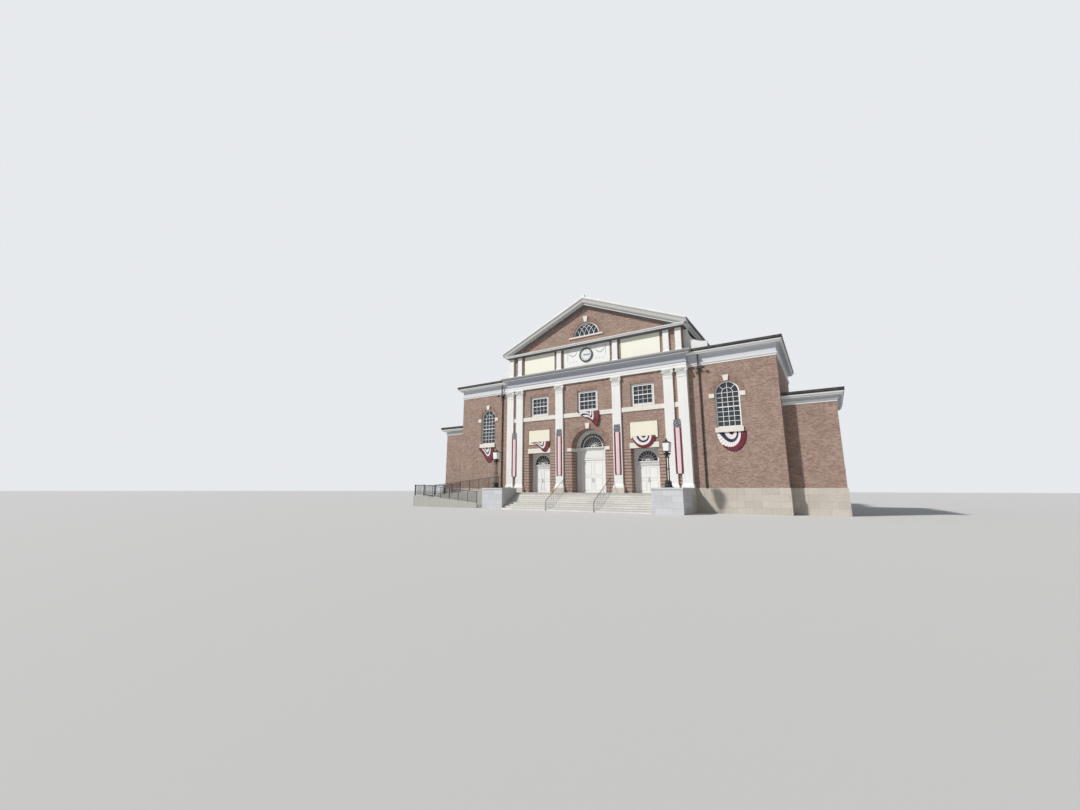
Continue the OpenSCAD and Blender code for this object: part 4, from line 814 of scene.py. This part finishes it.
def main_doorcase_trim():
    """Panel frames, inner arch mouldings and fanlight of the main doorway."""
    bm = bmesh.new()
    face, centre, spokes = MAIN_RECESS, (0, MAIN_FAN), 24
    for s in SIDES:
        x0, x1 = sorted((s * 1.17, s * 1.66))
        frame_ring(bm, x0 + 0.08, x1 - 0.08, FLOOR + 0.4, 5.14, 0.035, face - 0.035, face - 0.055)
    frame_ring(bm, -1.06, 1.06, 4.60, 5.28, 0.03, face, face - 0.014)
    arc(bm, centre, 1.47, 0.025, face - 0.03, face, 0, 180, 40)
    arc(bm, centre, 0.98, 0.07, face, face + 0.05, 0, 180, 32)
    for k in range(1, spokes):
        a = math.pi * k / spokes
        bar(bm, polar(centre, 1.0, a), polar(centre, 1.27, a), SPOKE, face + 0.02, face + 0.05)
    fan_bars(bm, centre, 0.96, face + 0.02, 12, 0.14, 0.40)
    return bm


def side_doorcase_trim():
    """Panel frames, inner arch moulding and fanlight of a side doorway, about its own middle."""
    bm = bmesh.new()
    face, centre = SIDE_RECESS, (0, SIDE_FAN)
    for s in SIDES:
        frame_ring(bm, *sorted((s * 0.05, s * 0.98)), 3.85, 3.97, 0.025, face, face - 0.02)
    arc(bm, centre, 0.90, 0.05, face - 0.01, face + 0.05, 0, 180, 32)
    fan_bars(bm, centre, 0.88, face + 0.02, 9, 0.12, 0.42)
    return bm


def impost_returns():
    """Stone of the main arch's imposts, carried back along the sides of the recess."""
    bm = bmesh.new()
    for out, foot, ease in ((0.018, 0.30, 0.0), (0.028, 0.06, 0.006)):
        block(bm, (MAIN_ARCH - out, -0.037 - out, MAIN_SPRING - foot),
              (MAIN_ARCH + 0.01, MAIN_RECESS, MAIN_SPRING), ease)
    return mirrored(bm)


# Each pair of doors: its middle, the width and the front face of a leaf, its top, and the
# leaf with the handle
DOORS = {"main_door": (0.0, 1.10, MAIN_RECESS + 0.02, 4.40, "left"),
         "left_door": (-SIDE_DOOR, 1.0, SIDE_RECESS + 0.02, 3.74, "left"),
         "right_door": (SIDE_DOOR, 1.0, SIDE_RECESS + 0.02, 3.74, "right")}


def leaf_panels(x, width, face, top, side):
    """Raised panels in the sunk panels of a leaf; side is -1 for the left leaf."""
    bm = bmesh.new()
    stile, rail, gap, border = 0.13, 0.15, 0.008, 0.07
    bottom = FLOOR + gap
    height = (top - bottom - 3 * rail) / 2
    x0, x1 = sorted((x + side * (width - stile), x + side * (gap / 2 + stile)))
    for z0 in (bottom + rail, bottom + rail + height + rail):
        frame_ring(bm, x0, x1, z0, z0 + height, 0.035, face + 0.014, face - 0.004)
        block(bm, (x0 + border, face - 0.002, z0 + border),
              (x1 - border, face + 0.0142, z0 + height - border), 0.012)
    return bm


def leaf_handle(x, face, side):
    """Pull handle on its narrow back plate."""
    bm = bmesh.new()
    at = x + side * 0.074
    block(bm, (at - 0.019, face - 0.006, FLOOR + 0.92), (at + 0.019, face, FLOOR + 1.32), 0.003)
    rod(bm, (at, face - 0.055, FLOOR + 0.955), (at, face - 0.055, FLOOR + 1.285), 0.012, 12)
    for z in (0.988, 1.248):
        rod(bm, (at, face, FLOOR + z), (at, face - 0.057, FLOOR + z), 0.009, 10)
    return bm


new_piece("main_doorcase_trim", main_doorcase_trim(), white_paint, smooth=30)
new_piece("impost_returns", impost_returns(), white_stone)
side_doors = [Matrix.Translation((s * SIDE_DOOR, 0, 0)) for s in SIDES]
new_piece("side_doorcase_trim", placed(side_doorcase_trim(), side_doors), white_paint,
          smooth=30)
for door, (x, width, face, top, pulled) in DOORS.items():
    for side, hand in zip(SIDES, ("left", "right")):
        leaf = door + "_" + hand
        new_piece(leaf + "_panels", leaf_panels(x, width, face, top, side), door_paint,
                  leaf)
        if hand == pulled:
            new_piece(leaf + "_handle", leaf_handle(x, face, side), iron_paint, leaf,
                      smooth=35)


# Carved and moulded work

CAPITAL_FOOT = ARCHITRAVE - 0.8


def tongue(bm, x, y, z, width, height, curl):
    """Carved leaf that stands against a bell and curls outwards at its tip."""
    made = bmesh.ops.create_grid(bm, x_segments=4, y_segments=6, size=0.5)["verts"]
    faces = linked(made, "faces")
    for v in made:
        across, up = v.co.x, v.co.y + 0.5
        narrow = 1.0 - 0.45 * up ** 3 + 0.12 * math.sin(up * math.pi * 3)
        rib = 0.02 * (1 - min(1.0, abs(across) * 3))
        out = curl * up ** 3 + rib
        drop = 0.10 * height * max(0.0, up - 0.85) / 0.15
        v.co = Vector((x + across * width * narrow, y - out, z + up * height - drop))
    bmesh.ops.solidify(bm, geom=faces, thickness=0.014)


def capital():
    """Capital over a shaft face at y = 0: necking, leaves, scrolls, eggs and abacus."""
    bm = bmesh.new()
    low, back = CAPITAL_FOOT, 0.15
    block(bm, (-0.435, -0.035, low), (0.435, back, low + 0.06), 0.014)
    block(bm, (-0.402, -0.004, low + 0.06), (0.402, back, low + 0.70))
    for k in range(5):
        tongue(bm, -0.32 + k * 0.16, -0.006, low + 0.06, 0.15, 0.27, 0.05)
    for k in range(4):
        tongue(bm, -0.24 + k * 0.16, -0.004, low + 0.10, 0.13, 0.38, 0.075)
    for k in range(7):
        x = -0.18 + k * 0.06
        rod(bm, (x, -0.02, low + 0.46), (x, -0.045, low + 0.60), 0.016, 6)
    block(bm, (-0.40, -0.06, low + 0.60), (0.40, back, low + 0.645), 0.012)
    for s in SIDES:
        x, z = s * 0.395, low + 0.53
        rod(bm, (x, -0.075, z), (x, 0.10, z), 0.115, 20)
        scroll(bm, (x, z), 0.145, 0.034, -0.095, 0.10, 1.75, -s)
        rod(bm, (x, -0.104, z), (x, -0.07, z), 0.03, 12)
    block(bm, (-0.47, -0.085, low + 0.665), (0.47, back, low + 0.72), 0.016)
    block(bm, (-0.495, -0.095, low + 0.72), (0.495, back, low + 0.80), 0.008)
    return bm


def corner_returns(bm):
    """Side returns of the outer capitals, back to the wings' brick."""
    edge = PILASTERS[2] + SHAFT_HALF
    for out, z0, z1, ease in ((0.035, 0, 0.06, 0.014), (0.004, 0.06, 0.70, 0),
                              (0.06, 0.60, 0.645, 0.012), (0.07, 0.665, 0.72, 0.016),
                              (0.095, 0.72, 0.80, 0.008)):
        for s in SIDES:
            x0, x1 = sorted((s * (edge - 0.05), s * (edge + out)))
            block(bm, (x0, -0.02, CAPITAL_FOOT + z0), (x1, WING_SET, CAPITAL_FOOT + z1), ease)


def festoon(bm, left, right, sag, y, size):
    """Relief garland that hangs between two points (x, z)."""
    count = 17
    for k in range(count):
        t = k / (count - 1)
        x = left[0] + (right[0] - left[0]) * t
        z = left[1] + (right[1] - left[1]) * t - sag * 4 * t * (1 - t)
        r = size * (0.55 + 0.45 * math.sin(math.pi * t)) * random.uniform(0.9, 1.1)
        for lift in (-0.45, 0.45):
            place = Matrix.Translation((x + random.uniform(-0.01, 0.01), y, z + lift * r))
            bmesh.ops.create_icosphere(bm, subdivisions=2, radius=r,
                                       matrix=place @ Matrix.Diagonal((1.0, 0.5, 0.8, 1)))


def clock_panel_relief():
    """Garlands, ribbons and drops at both sides of the clock."""
    bm = bmesh.new()
    y, ground = -0.034, -0.03
    for s in SIDES:
        festoon(bm, (s * 0.86, 14.78), (s * 1.98, 14.78), 0.46, y, 0.058)
        festoon(bm, (s * 1.98, 14.74), (s * 2.0, 13.86), 0.0, y, 0.036)
        for dx, dz in ((-0.13, 0.02), (0.13, 0.02), (0, 0.1)):
            arc(bm, (s * 1.98 + dx, 14.80 + dz), 0.06, 0.022, y - 0.02, ground, 0, 360, 16)
        for k in range(3):
            scroll(bm, (s * (1.05 + k * 0.36), 13.72), 0.11, 0.022, y - 0.014, ground, 1.25, s, 20)
    return bm


def dial_marks():
    """Hour numbers of bars, minute marks and hands near the level line."""
    bm = bmesh.new()
    face, centre = -0.08, (0, CLOCK_HEIGHT)
    strokes = {"I": [((0, -1), (0, 1))], "V": [((-0.7, 1), (0, -1)), ((0.7, 1), (0, -1))],
               "X": [((-0.7, 1), (0.7, -1)), ((0.7, 1), (-0.7, -1))]}
    hours = ["XII", "I", "II", "III", "IIII", "V", "VI", "VII", "VIII", "IX", "X", "XI"]
    tall, pitch = 0.052, 0.034
    for hour, word in enumerate(hours):
        a = math.radians(90 - 30 * hour)
        out, along = Vector((math.cos(a), math.sin(a))), Vector((math.sin(a), -math.cos(a)))
        for k, sign in enumerate(word):
            middle = out * 0.455 + along * (k - (len(word) - 1) / 2) * pitch
            for stroke in strokes[sign]:
                start, end = (middle + out * v * tall + along * u * pitch * 0.5
                              + Vector(centre) for u, v in stroke)
                bar(bm, start, end, 0.011, face - 0.006, face)
    for minute in range(60):
        a = math.tau * minute / 60
        bar(bm, polar(centre, 0.525, a), polar(centre, 0.55, a), 0.009, face - 0.004, face)
    for angle, length, width, lift in ((172, 0.27, 0.05, 0.014), (2, 0.43, 0.034, 0.024)):
        a, front = math.radians(angle), face - lift
        bar(bm, polar(centre, -0.12, a), polar(centre, length, a), width, front - 0.006, front)
        bar(bm, polar(centre, length * 0.45, a), polar(centre, length * 0.85, a), width * 1.6,
            front - 0.008, front - 0.001)
    rod(bm, (0, face, CLOCK_HEIGHT), (0, face - 0.04, CLOCK_HEIGHT), 0.035, 16)
    return bm


def clock_bezel():
    """Rounded beads of the clock's dark ring."""
    bm = bmesh.new()
    for radius, width, out in ((0.655, 0.045, 0.135), (0.600, 0.05, 0.125)):
        arc(bm, (0, CLOCK_HEIGHT), radius, width, -out, -0.10, 0, 360, 64)
    return bm


def panel_mouldings():
    """Moulded borders of the painted panels."""
    bm = bmesh.new()
    face = -0.03
    for s in SIDES:
        x0, x1 = sorted((s * (SIDE_DOOR - 1.22), s * (SIDE_DOOR + 1.22)))
        frame_ring(bm, x0, x1, 6.05, 7.48, 0.09, face, -0.065)
        x0, x1 = sorted((s * 3.45, s * 7.06))
        frame_ring(bm, x0, x1, 13.25, ATTIC_CORNICE, 0.10, face, -0.065)
    frame_ring(bm, -2.41, 2.41, 13.25, ATTIC_CORNICE, 0.07, face, -0.055)
    return bm


capitals = placed(capital(), [Matrix.Translation((s * x, -SHAFT_OUT, 0))
                              for x in PILASTERS for s in SIDES])
corner_returns(capitals)
new_piece("carved_capitals", capitals, white_paint,
          stands_for=["pilaster_capitals"], smooth=40)
new_piece("clock_panel_relief", clock_panel_relief(), relief_paint, smooth=50)
new_piece("dial_marks", dial_marks(), iron_paint)
new_piece("clock_bezel", clock_bezel(), clock_ring_paint, smooth=40)
new_piece("panel_mouldings", panel_mouldings(), white_paint)


# Roofs and pipes

def ridge_tiles():
    """Half round tiles along the ridge, and rolls on the hips and ridges of the wings' roofs."""
    bm = bmesh.new()
    y, apart = -0.55, 0.44
    while y < HALL_DEPTH + 0.1:
        rod(bm, (0, y, RIDGE - 0.03), (0, y + 0.45, RIDGE - 0.03), 0.115, 12, 0.10)
        y += apart
    x, front, back, top = 11.12, 5.03, 7.05, 13.94
    for s in SIDES:
        for edge, end in ((-0.15, front), (12.23, back)):
            rod(bm, (s * 16.06, edge, CORNICE), (s * x, end, top), 0.05, 10)
        rod(bm, (s * x, front, top), (s * x, back, top), 0.05, 10)
    return bm


def pipe_heads():
    """Rain heads of the downpipes, each with a pair of floodlights on an arm."""
    bm = bmesh.new()
    x, y, z = 10.03, 0.20, 11.40
    back, arm = WING_SET - 0.002, 0.03
    block(bm, (x - 0.13, y - 0.13, z - 0.10), (x + 0.13, back, z + 0.12), 0.02)
    block(bm, (x - 0.09, y - 0.10, z - 0.18), (x + 0.09, back, z - 0.10), 0.015)
    rod(bm, (x - 0.45, y - 0.17, z + arm), (x + 0.45, y - 0.17, z + arm), 0.02)
    for lamp in (x - 0.40, x + 0.40):
        block(bm, (lamp - 0.11, y - 0.30, z - 0.04), (lamp + 0.11, y - 0.16, z + 0.13), 0.02)
    rod(bm, (x, y - 0.17, z + arm), (x, y, z + arm), 0.022)
    return mirrored(bm)


new_piece("ridge_tiles", ridge_tiles(), slates, smooth=40)
new_piece("pipe_heads", pipe_heads(), gutter_paint, smooth=40)


# Ironwork and the edges of the steps

def lantern_iron():
    """Corner bars and rims of a lantern."""
    bm = bmesh.new()
    low, high = BASE_TOP + 2.65, BASE_TOP + 3.30
    foot, head = 0.214, 0.264
    for sx in SIDES:
        for sy in SIDES:
            rod(bm, (sx * foot, sy * foot, low + 0.02), (sx * head, sy * head, high), 0.015, 6)
    for reach, z in ((foot, low), (head, high)):
        for turn in range(4):
            first, end = len(bm.verts), reach + 0.022
            block(bm, (-end, -end, z - 0.015), (end, -reach + 0.01, z + 0.025), 0.006)
            bm.verts.ensure_lookup_table()
            bmesh.ops.rotate(bm, verts=bm.verts[first:], cent=(0, 0, 0),
                             matrix=Matrix.Rotation(turn * math.pi / 2, 3, "Z"))
    return bm


def along_path(points, gap):
    """Evenly spaced points on a path, without its corners."""
    for p, q in zip(points, points[1:]):
        p, q = Vector(p), Vector(q)
        count = max(1, round((q - p).length / gap))
        for k in range(1, count):
            yield p + (q - p) * k / count


def ramp_bars():
    """Upright bars of the ramp's railings, in straight runs between its rails' posts."""
    bm = bmesh.new()
    edge, lane, curb, slope, apart, lane_run = 0.09, 1.3, 0.45, 11.0, 0.1, 8.9
    platform_x, platform_z = -18.13, FLOOR - lane_run / slope
    end, wing, foot = -19.52, -15.74, platform_x + platform_z * slope
    y_in, y_out, y_back = 0.23 - lane - edge, 0.23 - 2 * lane - 0.18 - edge, 0.23 + edge
    top = platform_z + curb
    runs = [((-9.29, y_in, FLOOR + curb - 0.06 / slope),
             (platform_x + 0.03, y_in, top + 0.03 / slope)),
            ((foot - 0.06, y_out, curb + 0.06 / slope), (platform_x + 0.06, y_out, top)),
            ((platform_x - 0.04, y_out, top), (end, y_out, top)),
            ((end, y_out + apart, top), (end, y_back - apart, top)),
            ((end, y_back, top), (platform_x, y_back, top)),
            ((platform_x + apart, y_back, top + apart / slope),
             (wing, y_back, top + (wing - platform_x) / slope))]
    half = 0.008
    for run in runs:
        for p in along_path(run, 0.125):
            block(bm, (p.x - half, p.y - half, p.z + 0.11), (p.x + half, p.y + half, p.z + 1.07))
    return bm


def step_nosings():
    """Rounded front edges of the steps."""
    bm = bmesh.new()
    for k in range(STEPS):
        y, z = STEPS_FRONT + STEP_GOING * k, STEP_RISE * (k + 1)
        block(bm, (-STEPS_HALF, y - 0.022, z - 0.042), (STEPS_HALF, y + 0.012, z + 0.0015), 0.009)
    return bm


lamps = [Matrix.Translation((s * 8.08, -3.06, 0)) for s in SIDES]
new_piece("lantern_frames", placed(lantern_iron(), lamps), iron_paint, smooth=35)
new_piece("ramp_bars", ramp_bars(), iron_paint)
new_piece("step_nosings", step_nosings(), step_stone)


# Cloth

def cloth_piece(name, bm, finish, stands_for):
    """Sheet of cloth with its thickness. The area is summed from the modelled surface and not
    from the cut, so it proves nothing: the fans have only 0.38 to 0.63 of their cut's area, and
    the hung lengths 0.88."""
    area = sum(face.calc_area() for face in bm.faces)
    piece = new_piece(name, bm, finish, stands_for=stands_for, smooth=80)
    thick = piece.modifiers.new("thickness", "SOLIDIFY")
    thick.thickness, thick.offset = 0.003, 0.0


def cloth_grid(across, down):
    """Flat grid with a UV map of shares for the stripes and one in metres for the weave."""
    bm = bmesh.new()
    share = bm.loops.layers.uv.new("stripes")
    cut = bm.loops.layers.uv.new("cut")
    bmesh.ops.create_grid(bm, x_segments=across, y_segments=down, size=0.5)
    for face in bm.faces:
        for loop in face.loops:
            loop[share].uv = (loop.vert.co.x + 0.5, loop.vert.co.y + 0.5)
    return bm, share, cut


def fan(x, y, top, half, drop, lift, limp, blow, turned_out, pivot):
    """Pleated half round fan hung by its straight edge, as the wind from the left leaves it: lift
    raises the part left of limp, a share of its length; blow carries its edge right; turned_out
    shows more of the outer ring right of the share pivot, and less left of it."""
    pleats, hub = 15, 0.04
    bm, share, cut = cloth_grid(pleats * 6, 14)
    for face in bm.faces:
        for loop in face.loops:
            u, v = loop[share].uv
            loop[cut].uv = (u * math.pi * half, v * half)
            loop[share].uv = (u, v + turned_out * (u - pivot) * v * v)
    for v in bm.verts:
        along, reach = v.co.x + 0.5, v.co.y + 0.5
        turn = math.pi * along
        wave = abs(along * pleats * 2 % 2 - 1)
        raised = 0.5 - 0.5 * math.tanh((along - limp) / 0.14)
        radius = hub + reach * (half - hub)
        px = -math.cos(turn) * radius + blow * reach * math.sin(turn) ** 2
        pz = (-math.sin(turn) * (0.02 + reach * (drop - 0.02)) * (1 - 0.07 * wave * reach)
              * (1 - lift * raised))
        fold = 0.012 + 0.045 * wave * (0.25 + 0.75 * reach)
        v.co = Vector((x + px, y - fold, top + pz))
    return bm


def banner(x, y):
    """Long striped pull-down, gathered a little at its head and its foot."""
    low, high, half = 3.0, 7.36, 0.31
    bm, share, cut = cloth_grid(28, 60)
    for face in bm.faces:
        for loop in face.loops:
            u, v = loop[share].uv
            loop[cut].uv = (u * 0.66, v * (high - low))
    for v in bm.verts:
        across, up = v.co.x * 2, v.co.y + 0.5
        waist = 1.0 - sum(depth * math.exp(-((up - at) / 0.03) ** 2)
                          for depth, at in ((0.10, 0.985), (0.06, 0.02)))
        fold = 0.014 + 0.007 * math.sin(across * 9 + 2 * up) + 0.004 * math.sin(up * 17 + across)
        v.co = Vector((x + across * half * waist, y - fold, low + up * (high - low)))
    return bm


# Each fan: what holds it, and the numbers that fan() takes
FANS = {
    "left_wing": ("stone_dressings", -12.12, 0.29, 6.118, 1.06, 1.75, 0.65, 0.35, 0.30, 0.7, -0.3),
    "right_wing": ("stone_dressings", 12.12, 0.29, 6.118, 1.06, 1.56, 0.12, 0.25, 0.05, 0.95, 0.5),
    "left_door": ("doorway_heads", -5.15, -0.04, 6.32, 1.12, 1.25, 0.85, 0.48, 0.15, 1.0, 0.4),
    "right_door": ("doorway_heads", SIDE_DOOR, -0.04, 6.22, 1.02, 1.08, 0.20, 0.20, 0.0, 0.5, 0.5),
    "middle": ("belt_course", 0.16, -0.11, 8.80, 1.08, 1.72, 0.68, 0.50, 0.42, 2.6, 0.42)}
for name, (holder, *numbers) in FANS.items():
    cloth_piece("fan_" + name, fan(*numbers), fan_cloth,
                ["fan_bunting"] if name == "left_wing" else ())
for side, hand in zip(SIDES, ("left", "right")):
    for x, place in ((PILASTERS[0], "inner"), ((PILASTERS[1] + PILASTERS[2]) / 2, "outer")):
        name = "banner_" + hand + "_" + place
        cloth_piece(name, banner(side * x, -SHAFT_OUT), banner_cloth,
                    ["hung_banners"] if name == "banner_left_inner" else ())


# Floor, sky and lamp of the studio

def make_floor():
    """Wide pale floor."""
    bm = bmesh.new()
    bmesh.ops.create_grid(bm, x_segments=1, y_segments=1, size=600.0)
    mesh = bpy.data.meshes.new("studio_floor")
    bm.to_mesh(mesh)
    bm.free()
    floor = bpy.data.objects.new("studio_floor", mesh)
    finish, _, shader = new_finish("studio_floor", 0.9)
    shader.inputs["Base Color"].default_value = colour(0.58, 0.58, 0.575)
    mesh.materials.append(finish)
    bpy.context.scene.collection.objects.link(floor)


def make_light():
    """Soft sky with a pale backdrop, and a sun from the left of the front."""
    world = bpy.data.worlds.new("studio_sky")
    world.use_nodes = True
    tree = world.node_tree
    tree.nodes.clear()
    path = put(tree, "LightPath").outputs
    seen = calc(tree, "MAXIMUM", calc(tree, "MAXIMUM", path["Is Camera Ray"],
                                      path["Is Glossy Ray"]), path["Is Transmission Ray"])
    soft = put(tree, "Background", {"Color": colour(0.86, 0.93, 1.0), "Strength": 0.27})
    backdrop = put(tree, "Background", {"Color": colour(0.80, 0.82, 0.85), "Strength": 1.0})
    both = put(tree, "MixShader", {0: seen, 1: soft.outputs[0], 2: backdrop.outputs[0]})
    put(tree, "OutputWorld", {"Surface": both.outputs[0]})
    bpy.context.scene.world = world
    lamp = bpy.data.lights.new("key_light", "SUN")
    lamp.energy, lamp.angle, lamp.color = 3.5, math.radians(3), (1.0, 0.98, 0.95)
    sun = bpy.data.objects.new("key_light", lamp)
    side, height = math.radians(40.5), math.radians(40.5)
    source = Vector((-math.sin(side) * math.cos(height), -math.cos(side) * math.cos(height),
                     math.sin(height)))
    sun.matrix_world = source.to_track_quat("Z", "Y").to_matrix().to_4x4()
    bpy.context.scene.collection.objects.link(sun)


make_floor()
make_light()
bpy.context.scene.view_settings.view_transform = "Standard"
